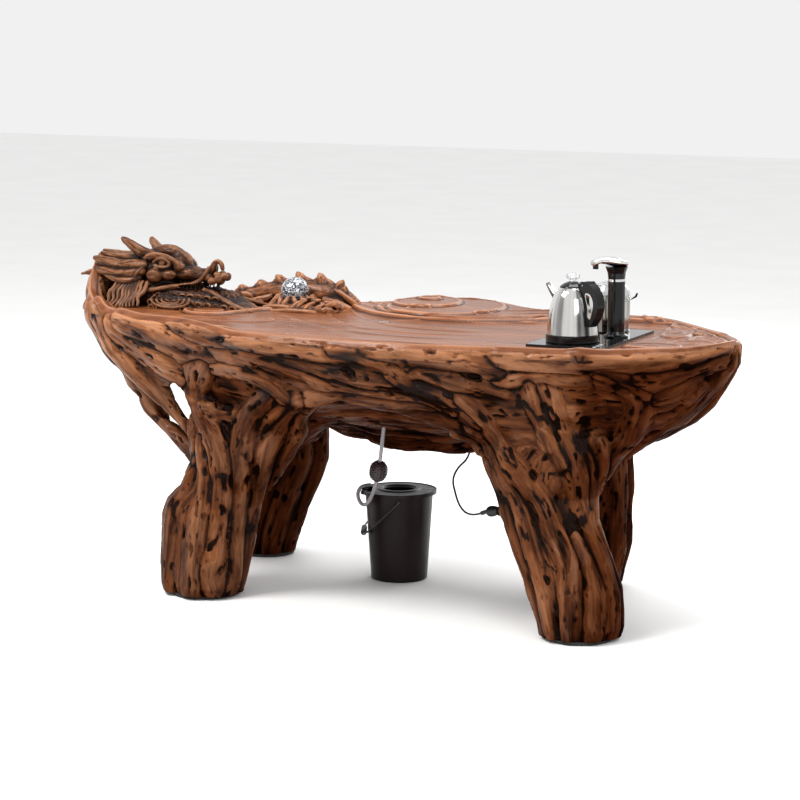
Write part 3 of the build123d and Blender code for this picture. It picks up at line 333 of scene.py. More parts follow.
def simple(name, base, rough=0.4, metal=0.0, var=0.12, scale=40.0, bump=0.08, bscale=220.0, bdist=0.0004,
           stretch=(1, 1, 1), rvar=0.08, coat=0.0, spec=0.5, wear=None, **extra):
    """A material whose colour, roughness and relief all vary over the surface."""
    m = Mat(name)
    v = m.mapping(m.obj(), stretch)
    n = m.noise(v, scale, 4.0, 0.55, 0.2)
    f = m.noise(v, bscale, 3.0, 0.5)
    lo = tuple(c * (1 - var) for c in base)
    hi = tuple(min(1.0, c * (1 + var)) for c in base)
    col = m.ramp(n, (0.3, lo), (0.7, hi))
    if wear:
        col = m.mix(m.rng(m.noise(m.obj(), scale * 0.35, 5.0, 0.7), 0.58, 0.72, 0, 0.6), col, wear)
    m.set(Base_Color=col, Roughness=m.rng(m.noise(v, scale * 1.7, 4.0, 0.6), 0.3, 0.7, max(0.02, rough - rvar), min(1, rough + rvar)))
    m.set(Metallic=metal, Specular_IOR_Level=spec)
    if coat:
        m.set(Coat_Weight=coat, Coat_Roughness=0.08)
    for k, v2 in extra.items():
        m.put(m.b.inputs[k.replace("_", " ")], v2)
    m.set(Normal=m.bump(f, bump, bdist))
    return m.m


M = {}
M["root_wood"] = root_wood("root_wood_varnished")
M["top_wood"] = root_wood("tea_field_varnished", coat=0.09, spec=0.12)
# copies of the root wood with duller varnish, for the faces under the deepest painted shade
M["side_wood"] = root_wood("root_wood_painted_shade", coat=0.025, spec=0.05)
M["under_wood"] = root_wood("root_wood_deep_shade", coat=0.0, spec=0.012)
M["carved_wood"] = root_wood("carved_wood", patina=0.66, top=False, deep=1.0, coat=0.08, spec=0.16)
M["dragon_wood"] = root_wood("dragon_wood", patina=0.80, top=False, deep=0.46, coat=0.06, spec=0.10)
M["dowel_wood"] = simple("dowel_wood", (0.42, 0.27, 0.14), 0.6, var=0.3, scale=30, stretch=(1, 1, 0.15), bump=0.3)
M["pad_rubber"] = simple("pad_rubber", (0.012, 0.012, 0.012), 0.75, var=0.3, scale=90, bump=0.5, bscale=400)
M["drain_metal"] = simple("drain_metal", (0.62, 0.60, 0.56), 0.24, 1.0, var=0.06, scale=60, bump=0.12, bscale=500, stretch=(1, 1, 6))
M["clip_plastic"] = simple("clip_plastic", (0.035, 0.032, 0.032), 0.45, var=0.2, bump=0.2)
M["bead_dark"] = simple("bead_dark", (0.030, 0.011, 0.013), 0.26, var=0.45, scale=70, bump=0.25, bscale=300, coat=0.3)
M["bucket_plastic"] = simple("bucket_plastic", (0.0085, 0.0042, 0.0036), 0.36, var=0.35, scale=14, bump=0.12, bscale=260, spec=0.16, wear=(0.014, 0.009, 0.008))
M["bucket_lid_plastic"] = simple("bucket_lid_plastic", (0.016, 0.0155, 0.0155), 0.40, var=0.25, scale=22, bump=0.22, bscale=420, spec=0.28, wear=(0.035, 0.033, 0.033))
M["bail_wire"] = simple("bail_wire", (0.045, 0.044, 0.043), 0.32, 0.9, var=0.18, scale=80, bump=0.15, stretch=(1, 1, 1))
M["grip_plastic"] = simple("grip_plastic", (0.022, 0.021, 0.021), 0.5, var=0.3, bump=0.35, bscale=350)
M["panel_glass"] = simple("panel_glass", (0.0045, 0.0045, 0.005), 0.055, var=0.2, scale=9, bump=0.02, bscale=60, rvar=0.02, coat=0.15, spec=0.42)
M["frame_metal"] = simple("frame_metal", (0.035, 0.035, 0.037), 0.28, 0.9, var=0.12, scale=50, bump=0.10, stretch=(1, 8, 1))
M["heater_ceramic"] = simple("heater_ceramic", (0.055, 0.05, 0.048), 0.55, var=0.3, bump=0.35)
M["board_green"] = simple("board_green", (0.02, 0.12, 0.05), 0.4, var=0.3, scale=120, bump=0.3)
M["pump_plastic"] = simple("pump_plastic", (0.06, 0.06, 0.065), 0.45, var=0.2, bump=0.25)
M["key_print"] = simple("key_print", (0.55, 0.56, 0.58), 0.4, var=0.15, bump=0.05)
M["black_plastic"] = simple("black_plastic", (0.0045, 0.0045, 0.0048), 0.16, var=0.3, scale=20, bump=0.05, bscale=160, coat=0.12, spec=0.24)
M["pin_brass"] = simple("pin_brass", (0.72, 0.52, 0.22), 0.25, 1.0, var=0.12, bump=0.1)


def steel(name, base, rough, brush=0.12, axis="ring"):
    """Polished or brushed steel, turned: fine hoops round the vertical axis."""
    m = Mat(name)
    v = m.mapping(m.obj(), (3, 3, 420))
    h = m.noise(v, 1.0, 3.0, 0.6)
    s1 = m.noise(m.obj(), 18.0, 4.0, 0.6, 0.4)
    m.set(Base_Color=m.ramp(s1, (0.3, tuple(c * 0.90 for c in base)), (0.7, base)), Metallic=1.0)
    m.set(Roughness=m.rng(m.math("MULTIPLY_ADD", s1, 0.6, m.math("MULTIPLY", h, 0.4)), 0.3, 0.7, max(0.02, rough - 0.03), rough + 0.05))
    m.set(Normal=m.bump(h, brush, 0.00015))
    return m.m




def painted_reflection_steel(name, cx, cy, base, rough, dark, turns, seed):
    """Mirror steel with painted reflections: upright bands round its own axis, bright and smoky by turns in the base
    colour.
    """
    m = Mat(name)
    g = m.node("ShaderNodeTexGradient", gradient_type="RADIAL")
    x0, y0, _ = place(cx, cy, 0)
    m.put(g.inputs["Vector"], m.mapping(m.obj(), loc=(-x0, -y0, 0)))
    c = m.node("ShaderNodeCombineXYZ")
    m.put(c.inputs[0], g.outputs["Fac"])
    c.inputs[1].default_value = seed
    band = m.noise(m.mapping(c.outputs[0], (turns, 1, 1)), 1.0, 2.0, 0.55)
    soft = m.noise(m.mapping(m.obj(), (10, 10, 5)), 1.0, 3.0, 0.5)
    hoop = m.noise(m.mapping(m.obj(), (3, 3, 420)), 1.0, 3.0, 0.6)
    v = m.math("MULTIPLY_ADD", soft, 0.22, m.math("MULTIPLY", band, 0.78))
    m.set(Base_Color=m.ramp(v, (0.36, dark), (0.45, tuple(0.5 * (a + b) for a, b in zip(dark, base))), (0.50, base), (0.66, tuple(min(0.95, a * 1.25) for a in base))))
    m.set(Metallic=1.0, Roughness=m.rng(hoop, 0.3, 0.7, rough * 0.6, rough * 1.4), Normal=m.bump(hoop, 0.08, 0.00012))
    return m.m


M["kettle_steel"] = painted_reflection_steel("kettle_steel", 526, -232, (0.70, 0.69, 0.67), 0.09, (0.035, 0.034, 0.034), 11.0, 2.3)
M["pot_steel"] = painted_reflection_steel("pot_steel", 540, -16, (0.52, 0.50, 0.47), 0.11, (0.025, 0.024, 0.024), 9.0, 5.1)
M["chrome_trim"] = steel("chrome_trim", (0.80, 0.80, 0.79), 0.05, 0.03)
M["column_steel"] = simple("column_enamel", (0.0042, 0.0042, 0.0045), 0.13, var=0.3, scale=16, bump=0.04, bscale=140, coat=0.15, spec=0.30)


def clear(name, tint, rough, ior, trans=1.0, scale=60.0, bump=0.05, bdist=0.0004):
    m = Mat(name)
    n = m.noise(m.obj(), scale, 4.0, 0.55)
    m.set(Base_Color=m.ramp(n, (0.3, tuple(c * 0.94 for c in tint)), (0.7, tint)))
    m.set(Roughness=m.rng(n, 0.3, 0.7, rough * 0.7, rough * 1.3), IOR=ior, Transmission_Weight=trans)
    m.set(Normal=m.bump(n, bump, bdist))
    return m.m




def painted_glint_crystal(name):
    """Leaded crystal: bright and black flashes over its many small facets, painted into the base colour as glints and
    reflections.
    """
    m = Mat(name)
    cells = m.voronoi(m.obj(), 290.0, out="Color")
    fine = m.voronoi(m.obj(), 560.0, out="Color")
    v = m.math("MULTIPLY_ADD", m.grey(cells), 0.62, m.math("MULTIPLY", m.grey(fine), 0.38))
    m.set(Base_Color=m.ramp(v, (0.28, (0.008, 0.009, 0.012)), (0.46, (0.030, 0.035, 0.045)), (0.54, (0.16, 0.175, 0.21)), (0.66, (0.52, 0.54, 0.58)), (0.84, (0.90, 0.91, 0.93))))
    m.set(Roughness=m.rng(m.noise(m.obj(), 60.0, 3.0, 0.5), 0.3, 0.7, 0.04, 0.10), IOR=1.6, Metallic=0.25)
    m.set(Coat_Weight=1.0, Coat_Roughness=0.03, Normal=m.bump(v, 0.5, 0.0012))
    return m.m


M["crystal"] = painted_glint_crystal("crystal_glass")
M["knob_glass"] = clear("knob_glass", (0.92, 0.93, 0.94), 0.03, 1.50, 0.9)
M["pot_glass"] = clear("pot_glass", (0.86, 0.87, 0.87), 0.04, 1.50, 0.9)
M["hose_clear"] = clear("hose_clear", (0.40, 0.37, 0.385), 0.20, 1.42, 0.35)
M["cord_black"] = simple("cord_black", (0.014, 0.014, 0.0145), 0.42, var=0.3, bump=0.2, bscale=300)

floor_m = Mat("studio_floor")
fn = floor_m.noise(floor_m.obj(), 3.0, 3.0, 0.5)
floor_m.set(Base_Color=floor_m.ramp(fn, (0.3, (0.90, 0.90, 0.895)), (0.7, (0.93, 0.93, 0.925))), Roughness=0.6, Specular_IOR_Level=0.2)
floor.data.materials.append(floor_m.m)

SLOT = {
    "leg_dowels": "dowel_wood", "top_dowels": "dowel_wood", "foot_pads": "pad_rubber",
    "crystal_ball": "crystal", "drain_body": "drain_metal", "drain_strainer": "drain_metal",
    "pipe_clip": "clip_plastic", "cord_grommet": "clip_plastic", "hose_bead": "bead_dark",
    "bucket_body": "bucket_plastic", "bucket_lid": "bucket_lid_plastic", "bucket_bail": "bail_wire",
    "bail_grip": "grip_plastic", "cooker_panel": "panel_glass", "panel_frame": "frame_metal",
    "cooker_housing": "frame_metal", "kettle_heater": "heater_ceramic", "pot_heater": "heater_ceramic",
    "control_board": "board_green", "water_pump": "pump_plastic", "panel_keys": "key_print",
    "pump_column": "column_steel", "column_ring": "chrome_trim", "spout_cap": "chrome_trim",
    "handle_trim": "chrome_trim", "lid_pin": "chrome_trim", "spout_neck": "black_plastic",
    "spout_nozzle": "black_plastic", "kettle_base": "black_plastic", "kettle_body": "kettle_steel",
    "kettle_spout": "kettle_steel", "kettle_handle": "black_plastic", "kettle_lid": "black_plastic",
    "kettle_knob": "knob_glass", "pot_body": "pot_steel", "pot_lug": "black_plastic", "pot_lid": "pot_glass",
    "plug_body": "cord_black", "plug_pins": "pin_brass", "tray_top": "root_wood", "front_apron": "root_wood",
    "rear_apron": "root_wood", "left_end_apron": "root_wood", "right_end_apron": "root_wood",
    "leg_front_right": "root_wood", "leg_front_left": "root_wood", "leg_rear_left": "root_wood",
    "leg_rear_right": "root_wood", "belly_panel": "root_wood", "root_strand": "root_wood",
    "dragon_head": "carved_wood", "dragon_crest": "carved_wood", "ball_cradle": "carved_wood",
}


def wear(obj, key):
    obj.data.materials.clear()
    obj.data.materials.append(M[key])


for node_name, key in SLOT.items():
    wear(N[node_name], key)
wear(hose, "hose_clear")
wear(cord, "cord_black")


# ------------------------------------------------------------------ noise and curve helpers
def vnoise(P, seed=0):
    """Smooth value noise from -1 to 1 at the rows of P, the same on every run."""
    P = np.asarray(P, np.float32)
    i = np.floor(P).astype(np.int64)
    f = P - i
    w = f * f * f * (f * (f * 6 - 15) + 10)
    i = (i + 100003 * (seed + 1)) & 0x7FFFFFFF
    out = np.zeros(len(P), np.float32)

    def h(a, b, c):
        n = (a * 374761393 + b * 668265263 + c * 2147483647) & 0xFFFFFFFF
        n = ((n ^ (n >> 13)) * 1274126177) & 0xFFFFFFFF
        n = ((n ^ (n >> 16)) * 2246822519) & 0xFFFFFFFF
        return ((n ^ (n >> 15)) & 0xFFFFFF).astype(np.float32) / 8388607.5 - 1.0

    for dx in (0, 1):
        wx = w[:, 0] if dx else 1 - w[:, 0]
        for dy in (0, 1):
            wy = w[:, 1] if dy else 1 - w[:, 1]
            for dz in (0, 1):
                wz = w[:, 2] if dz else 1 - w[:, 2]
                out += wx * wy * wz * h(i[:, 0] + dx, i[:, 1] + dy, i[:, 2] + dz)
    return out


def fbm(P, octaves=3, seed=0, gain=0.5):
    a, out = 1.0, 0.0
    total = 0.0
    for o in range(octaves):
        out = out + a * vnoise(np.asarray(P, np.float32) * (2.03 ** o), seed + 17 * o)
        total += a
        a *= gain
    return out / total


def ridged(P, octaves=2, seed=0):
    a, out, total = 1.0, 0.0, 0.0
    for o in range(octaves):
        out = out + a * (1.0 - 2.0 * np.abs(vnoise(np.asarray(P, np.float32) * (2.07 ** o), seed + 31 * o)))
        total += a
        a *= 0.5
    return out / total


def catmull(P, step, closed=False):
    """Evenly resampled Catmull-Rom curve through the rows of P, of any number of columns."""
    P = np.asarray(P, float)
    if closed:
        Q, m = np.vstack([P[-1], P, P[0], P[1]]), len(P)
    else:
        Q, m = np.vstack([2 * P[0] - P[1], P, 2 * P[-1] - P[-2]]), len(P) - 1
    t = np.linspace(0, 1, 17)[:-1][:, None]
    out = []
    for i in range(m):
        a, b, c, d = Q[i], Q[i + 1], Q[i + 2], Q[i + 3]
        out.append(0.5 * (2 * b + (c - a) * t + (2 * a - 5 * b + 4 * c - d) * t ** 2 + (3 * b - a - 3 * c + d) * t ** 3))
    out = np.vstack(out + [P[:1] if closed else P[-1:]])
    xyz = out[:, :3] if out.shape[1] > 2 else out
    s = np.r_[0, np.cumsum(np.linalg.norm(np.diff(xyz, axis=0), axis=1))]
    k = max(2, int(round(s[-1] / step)) + 1)
    u = np.linspace(0, s[-1], k)
    res = np.stack([np.interp(u, s, out[:, j]) for j in range(out.shape[1])], 1)
    return res[:-1] if closed else res


def smin(a, b, k):
    h = np.maximum(k - np.abs(a - b), 0.0)
    return np.minimum(a, b) - h * h / (4 * k)


def smax(a, b, k):
    h = np.maximum(k - np.abs(a - b), 0.0)
    return np.maximum(a, b) + h * h / (4 * k)


class Strand:
    """A tapered run of wood along a curve: rows of x, y, z, radius."""

    def __init__(s, pts, k=14.0, step=14.0, cut=False):
        P = catmull(np.asarray(pts, float), step)
        s.P, s.R, s.k, s.cut = P[:, :3], np.maximum(P[:, 3], 0.5), k, cut
        T = np.gradient(s.P, axis=0)
        T /= np.linalg.norm(T, axis=1)[:, None] + 1e-9
        e = np.cross(T[0], (0.31, 0.22, 0.93))
        e /= np.linalg.norm(e)
        E = [e]
        for i in range(1, len(T)):
            e = E[-1] - T[i] * (E[-1] @ T[i])
            E.append(e / (np.linalg.norm(e) + 1e-9))
        s.T, s.E1 = T, np.array(E)
        s.E2 = np.cross(T, s.E1)
        s.U = np.r_[0, np.cumsum(np.linalg.norm(np.diff(s.P, axis=0), axis=1))]


class Field:
    """A signed distance field on a regular grid, negative inside, clipped to a band."""

    def __init__(s, lo, hi, h, band=60.0):
        s.lo, s.h, s.band = np.array(lo, float), h, band
        s.xs, s.ys, s.zs = (np.arange(lo[i], hi[i] + h / 2, h, dtype=np.float32) for i in range(3))
        s.F = np.full((len(s.xs), len(s.ys), len(s.zs)), band, np.float32)

    def block(s, lo, hi):
        i0 = np.clip(((np.asarray(lo) - s.lo) / s.h).astype(int), 0, s.F.shape)
        i1 = np.clip(((np.asarray(hi) - s.lo) / s.h).astype(int) + 2, 0, s.F.shape)
        sl = tuple(slice(a, b) for a, b in zip(i0, i1))
        return i0, i1, sl

    def join(s, sl, D, k, cut=False):
        s.F[sl] = smax(s.F[sl], -D, k) if cut else smin(s.F[sl], D, k)

    def strand(s, st):
        m = st.k + 2 * s.h
        r = st.R.max() + m
        i0, i1, sl = s.block(st.P.min(0) - r, st.P.max(0) + r)
        if (i1 <= i0).any():
            return
        D = np.full(tuple(i1 - i0), s.band, np.float32)
        for i in range(len(st.P) - 1):
            a, b = st.P[i], st.P[i + 1]
            r = max(st.R[i], st.R[i + 1]) + m
            j0 = np.maximum(((np.minimum(a, b) - r - s.lo) / s.h).astype(int), i0)
            j1 = np.minimum(((np.maximum(a, b) + r - s.lo) / s.h).astype(int) + 2, i1)
            if (j1 <= j0).any():
                continue
            x = s.xs[j0[0]:j1[0], None, None] - np.float32(a[0])
            y = s.ys[None, j0[1]:j1[1], None] - np.float32(a[1])
            z = s.zs[None, None, j0[2]:j1[2]] - np.float32(a[2])
            v = (b - a).astype(np.float32)
            t = np.clip((x * v[0] + y * v[1] + z * v[2]) / np.float32(float(v @ v) + 1e-9), 0, 1)
            d = np.sqrt((x - t * v[0]) ** 2 + (y - t * v[1]) ** 2 + (z - t * v[2]) ** 2)
            d -= np.float32(st.R[i]) + t * np.float32(st.R[i + 1] - st.R[i])
            q = tuple(slice(j0[n] - i0[n], j1[n] - i0[n]) for n in range(3))
            np.minimum(D[q], d, out=D[q])
        s.join(sl, D, st.k, st.cut)

    def blob(s, c, r, k=10.0, rot=None, cut=False):
        """An ellipsoid of half-axes r, turned by the 3x3 rot, joined or cut."""
        c, r = np.asarray(c, float), np.asarray(r, float)
        R = np.eye(3) if rot is None else np.asarray(rot, float)
        ext = np.sqrt(((R * r[None, :]) ** 2).sum(1)) + k + 2 * s.h
        i0, i1, sl = s.block(c - ext, c + ext)
        if (i1 <= i0).any():
            return
        x = s.xs[sl[0], None, None] - np.float32(c[0])
        y = s.ys[None, sl[1], None] - np.float32(c[1])
        z = s.zs[None, None, sl[2]] - np.float32(c[2])
        q = [(x * R[0, n] + y * R[1, n] + z * R[2, n]) / np.float32(r[n]) for n in range(3)]
        k0 = np.sqrt(q[0] ** 2 + q[1] ** 2 + q[2] ** 2) + 1e-6
        k1 = np.sqrt((q[0] / r[0]) ** 2 + (q[1] / r[1]) ** 2 + (q[2] / r[2]) ** 2) + 1e-9
        D = np.minimum((k0 * (k0 - 1) / k1), s.band).astype(np.float32)
        s.join(sl, D, k, cut)

    def at(s, Q, F=None):
        F = s.F if F is None else F
        f = np.clip((np.asarray(Q) - s.lo) / s.h, 0, np.array(F.shape) - 1.001)
        i = f.astype(int)
        a = (f - i).astype(np.float32)
        r = 0
        for dx in (0, 1):
            for dy in (0, 1):
                for dz in (0, 1):
                    w = (a[..., 0] if dx else 1 - a[..., 0]) * (a[..., 1] if dy else 1 - a[..., 1]) * (a[..., 2] if dz else 1 - a[..., 2])
                    r = r + w * F[i[..., 0] + dx, i[..., 1] + dy, i[..., 2] + dz]
        return r

    def blurred(s, radius, every=2):
        """Box-blurred copy on a coarser grid, for telling ridges from hollows."""
        A = s.F[::every, ::every, ::every].astype(np.float32)
        n = max(1, int(round(radius / (s.h * every))))
        for _ in range(2):
            for ax in range(3):
                B = np.concatenate([np.repeat(np.take(A, [0], ax), n + 1, ax), A, np.repeat(np.take(A, [-1], ax), n, ax)], ax)
                C = np.cumsum(B, axis=ax, dtype=np.float64)
                L = A.shape[ax]
                hi_ = np.take(C, np.arange(2 * n + 1, 2 * n + 1 + L), ax)
                lo_ = np.take(C, np.arange(0, L), ax)
                A = ((hi_ - lo_) / (2 * n + 1)).astype(np.float32)
        return A

    def mesh(s):
        b = 2.5 * s.h
        F = s.F
        for ax in range(3):
            for side in (0, -1):
                idx = [slice(None)] * 3
                idx[ax] = side
                F[tuple(idx)] = b
        g = vdb.FloatGrid(float(b))
        g.copyFromArray(np.clip(F, -b, b))
        p, q = g.convertToQuads(isovalue=0.0)
        return np.asarray(p, np.float64) * s.h + s.lo, np.asarray(q, np.int64)


def islands(q, n):
    """Labels the connected parts of a quad mesh with n vertices."""
    lab = np.arange(n)
    while True:
        m = lab[q].min(1)
        new = lab.copy()
        np.minimum.at(new, q.ravel(), np.repeat(m, 4))
        new = new[new]
        if (new == lab).all():
            return lab
        lab = new


def keep_main(P, q, least=0.02):
    """Drops loose crumbs smaller than a share of the largest part."""
    lab = islands(q, len(P))
    u, c = np.unique(lab, return_counts=True)
    good = u[c >= least * c.max()]
    keep = np.isin(lab, good)
    idx = np.cumsum(keep) - 1
    return P[keep], idx[q[keep[q[:, 0]]]]


def quad_object(name, P, q, smooth=True):
    """A mesh object from points in the carving datum (mm) and quads."""
    me = bpy.data.meshes.new(name)
    me.vertices.add(len(P))
    me.vertices.foreach_set("co", to_row(P).astype(np.float32).ravel())
    me.loops.add(len(q) * 4)
    me.loops.foreach_set("vertex_index", np.ascontiguousarray(q, np.int32).ravel())
    me.polygons.add(len(q))
    me.polygons.foreach_set("loop_start", np.arange(0, len(q) * 4, 4, dtype=np.int32))
    me.update(calc_edges=True)
    me.validate()
    if smooth:
        me.polygons.foreach_set("use_smooth", np.ones(len(me.polygons), bool))
    return link(bpy.data.objects.new(name, me))


def normals_of(P, q):
    d1 = P[q[:, 2]] - P[q[:, 0]]
    d2 = P[q[:, 3]] - P[q[:, 1]]
    fn = np.cross(d1, d2)
    n = np.zeros_like(P)
    for j in range(4):
        np.add.at(n, q[:, j], fn)
    return n / (np.linalg.norm(n, axis=1)[:, None] + 1e-12)


def outward(P, q):
    """Quads wound so that their normals point out of the closed mesh."""
    a, b, c, d = (P[q[:, j]] for j in range(4))
    vol = np.einsum("ij,ij->i", a, np.cross(b, c)).sum() + np.einsum("ij,ij->i", a, np.cross(c, d)).sum()
    return q if vol > 0 else q[:, ::-1]


def relax(P, q, rounds=2, amount=0.5):
    n = len(P)
    e = np.vstack([q[:, [0, 1]], q[:, [1, 2]], q[:, [2, 3]], q[:, [3, 0]]])
    deg = np.bincount(e.ravel(), minlength=n).astype(float)[:, None]
    for _ in range(rounds):
        s = np.zeros_like(P)
        for j in range(3):
            s[:, j] = np.bincount(e[:, 0], weights=P[e[:, 1], j], minlength=n) + np.bincount(e[:, 1], weights=P[e[:, 0], j], minlength=n)
        P = P + amount * (s / np.maximum(deg, 1) - P)
    return P


def point_attr(me, name, value, kind="FLOAT"):
    a = me.attributes.new(name, kind, "POINT")
    a.data.foreach_set("vector" if kind == "FLOAT_VECTOR" else "value", np.ascontiguousarray(value, np.float32).ravel())


def grain_frames(P, strands, fallback, reach=14.0):
    """For each point: fibre coordinates (across, across, along), distance to the nearest strand and to the next one."""
    n = len(P)
    best = np.full(n, 1e9)
    second = np.full(n, 1e9)
    G = fallback.copy()
    for si, st in enumerate(strands):
        r = st.R.max() + 40.0
        near = np.nonzero(((P > st.P.min(0) - r) & (P < st.P.max(0) + r)).all(1))[0]
        if not len(near):
            continue
        Q = P[near]
        d0 = np.full(len(Q), 1e9)
        co = np.zeros((len(Q), 3))
        for i in range(len(st.P) - 1):
            a, b = st.P[i], st.P[i + 1]
            rr = max(st.R[i], st.R[i + 1]) + 40.0
            box_ = np.nonzero(((Q > np.minimum(a, b) - rr) & (Q < np.maximum(a, b) + rr)).all(1))[0]
            if not len(box_):
                continue
            v = Q[box_] - a
            ab = b - a
            t = np.clip((v @ ab) / (ab @ ab + 1e-9), 0, 1)
            w = v - t[:, None] * ab
            d = np.sqrt(np.einsum("ij,ij->i", w, w)) - (st.R[i] + t * (st.R[i + 1] - st.R[i]))
            m = d < d0[box_]
            k = box_[m]
            d0[k] = d[m]
            co[k, 0] = w[m] @ st.E1[i]
            co[k, 1] = w[m] @ st.E2[i]
            co[k, 2] = st.U[i] + t[m] * (st.U[i + 1] - st.U[i])
        b0 = best[near]
        closer = d0 < b0
        second[near] = np.where(closer, b0, np.minimum(second[near], d0))
        best[near] = np.where(closer, d0, b0)
        use = near[closer & (d0 < reach)]
        G[use] = co[closer & (d0 < reach)] + np.array([37.0 * si, 11.0 * si, 91.0 * si])
    return G, best, second


# ------------------------------------------------------------------ the root carcass
TOP_EDGE = np.array([
    (-190, 370), (-250, 290), (-330, 245), (-450, 232), (-580, 232), (-720, 222), (-850, 192),
    (-945, 136), (-986, 50), (-972, -40), (-922, -120),
    (-845, -186), (-762, -240), (-664, -292), (-560, -318), (-433, -366),
    (-295, -430), (-150, -456), (0, -466), (160, -463), (289, -440),
    (408, -414), (533, -399), (653, -377), (758, -322), (861, -250),
    (908, -150), (912, -60), (876, 15), (790, 108), (701, 200),
    (596, 286), (482, 306), (350, 306), (240, 312), (146, 373),
    (51, 440), (-47, 456), (-117, 436)], float)
EDGE = catmull(TOP_EDGE, 14.0, closed=True)


def sd_poly(px, py, poly):
    """Signed distance to a closed polygon, negative inside, and the arc length of the nearest point."""
    d = np.full(px.shape, 1e9, np.float32)
    s = np.zeros(px.shape, np.float32)
    inside = np.zeros(px.shape, bool)
    u = 0.0
    for i in range(len(poly)):
        ax, ay = poly[i]
        bx, by = poly[(i + 1) % len(poly)]
        ex, ey = bx - ax, by - ay
        L = math.hypot(ex, ey)
        t = np.clip(((px - ax) * ex + (py - ay) * ey) / (L * L), 0, 1)
        q = (px - ax - t * ex) ** 2 + (py - ay - t * ey) ** 2
        m = q < d
        d[m] = q[m]
        s[m] = (u + t * L)[m]
        if ay != by:
            inside ^= ((ay > py) != (by > py)) & (px < (py - ay) / ey * ex + ax)
        u += L
    d = np.sqrt(d)
    return np.where(inside, -d, d), s


class Plan:
    """The outline's signed distance on a flat grid."""
    h = 4.0
    lo = np.array([-1040.0, -520.0])
    xs = np.arange(-1040.0, 981.0, 4.0)
    ys = np.arange(-520.0, 513.0, 4.0)


_gx, _gy = np.meshgrid(Plan.xs, Plan.ys, indexing="ij")
PLAN_D, PLAN_S = sd_poly(_gx, _gy, EDGE)


def flat_at(A, x, y):
    fx = np.clip((x - Plan.lo[0]) / Plan.h, 0, A.shape[0] - 1.001)
    fy = np.clip((y - Plan.lo[1]) / Plan.h, 0, A.shape[1] - 1.001)
    ix, iy = fx.astype(int), fy.astype(int)
    ax, ay = fx - ix, fy - iy
    return (A[ix, iy] * (1 - ax) * (1 - ay) + A[ix + 1, iy] * ax * (1 - ay)
            + A[ix, iy + 1] * (1 - ax) * ay + A[ix + 1, iy + 1] * ax * ay)


def bump1(t, a, b, c, d):
    """Rises from a to b, stays, falls from c to d, smoothly."""
    u = np.clip((t - a) / (b - a), 0, 1)
    v = np.clip((d - t) / (d - c), 0, 1)
    return u * u * (3 - 2 * u) * v * v * (3 - 2 * v)


def prow(x, y):
    """How much the rim stands up round the left end, over the tea field's 720."""
    t = np.clip((-x - 560.0) / 430.0, 0, 1)
    lift = 160.0 * t ** 1.7
    front = np.clip((y + 130.0) / 190.0, 0.16, 1.0)
    return lift * front * np.clip((215.0 - y) / 90.0, 0.35, 1.0)


BOWL = np.array([(460, 0.740, 0.70, 70), (480, 0.785, 0.75, 62), (520, 0.855, 0.82, 42), (560, 0.902, 0.86, 28), (600, 0.934, 0.90, 10),
                 (640, 0.958, 0.935, -5), (682, 0.980, 0.970, -5), (704, 0.984, 0.976, -5), (740, 0.983, 0.975, -5), (840, 0.983, 0.975, -5)], float)
BELLY = np.array([(366, -10, 165, 250, 62), (376, -10, 165, 272, 80), (410, -10, 155, 330, 112), (445, 0, 120, 410, 168),
                  (480, 5, 60, 520, 235), (500, 5, 40, 560, 260)], float)
LEGS = {
    "fr": [(0, 574, -281, 100, 92), (30, 573, -277, 110, 100), (120, 541, -252, 127, 112), (200, 501, -233, 126, 116),
           (280, 460, -214, 126, 116), (340, 446, -200, 136, 124), (380, 446, -192, 156, 140), (440, 456, -175, 194, 158),
           (490, 490, -160, 228, 172)],
    "fl": [(0, -509, -221, 106, 100), (30, -511, -218, 116, 108), (120, -515, -200, 134, 116), (200, -507, -187, 146, 124),
           (240, -498, -180, 142, 124), (280, -466, -172, 126, 124), (360, -415, -160, 146, 132), (440, -372, -148, 190, 150), (490, -362, -140, 228, 168)],
    "rl": [(0, -601, 306, 84, 82), (30, -600, 304, 92, 90), (120, -560, 295, 102, 96), (280, -505, 275, 110, 100),
           (380, -498, 240, 118, 102), (490, -488, 130, 132, 106)],
    "rr": [(0, 376, 299, 80, 82), (30, 377, 298, 86, 88), (120, 396, 285, 93, 94), (280, 402, 265, 97, 98),
           (380, 405, 240, 101, 102), (490, 410, 160, 126, 114)],
}
LEGS = {k: np.array(v, float) for k, v in LEGS.items()}


def rows_at(T, z):
    return [float(np.interp(z, T[:, 0], T[:, j])) for j in range(1, T.shape[1])]


H = 3.1
wood = Field((-1016.0, -496.0, 2.0), (944.0, 488.0, 846.0), H)


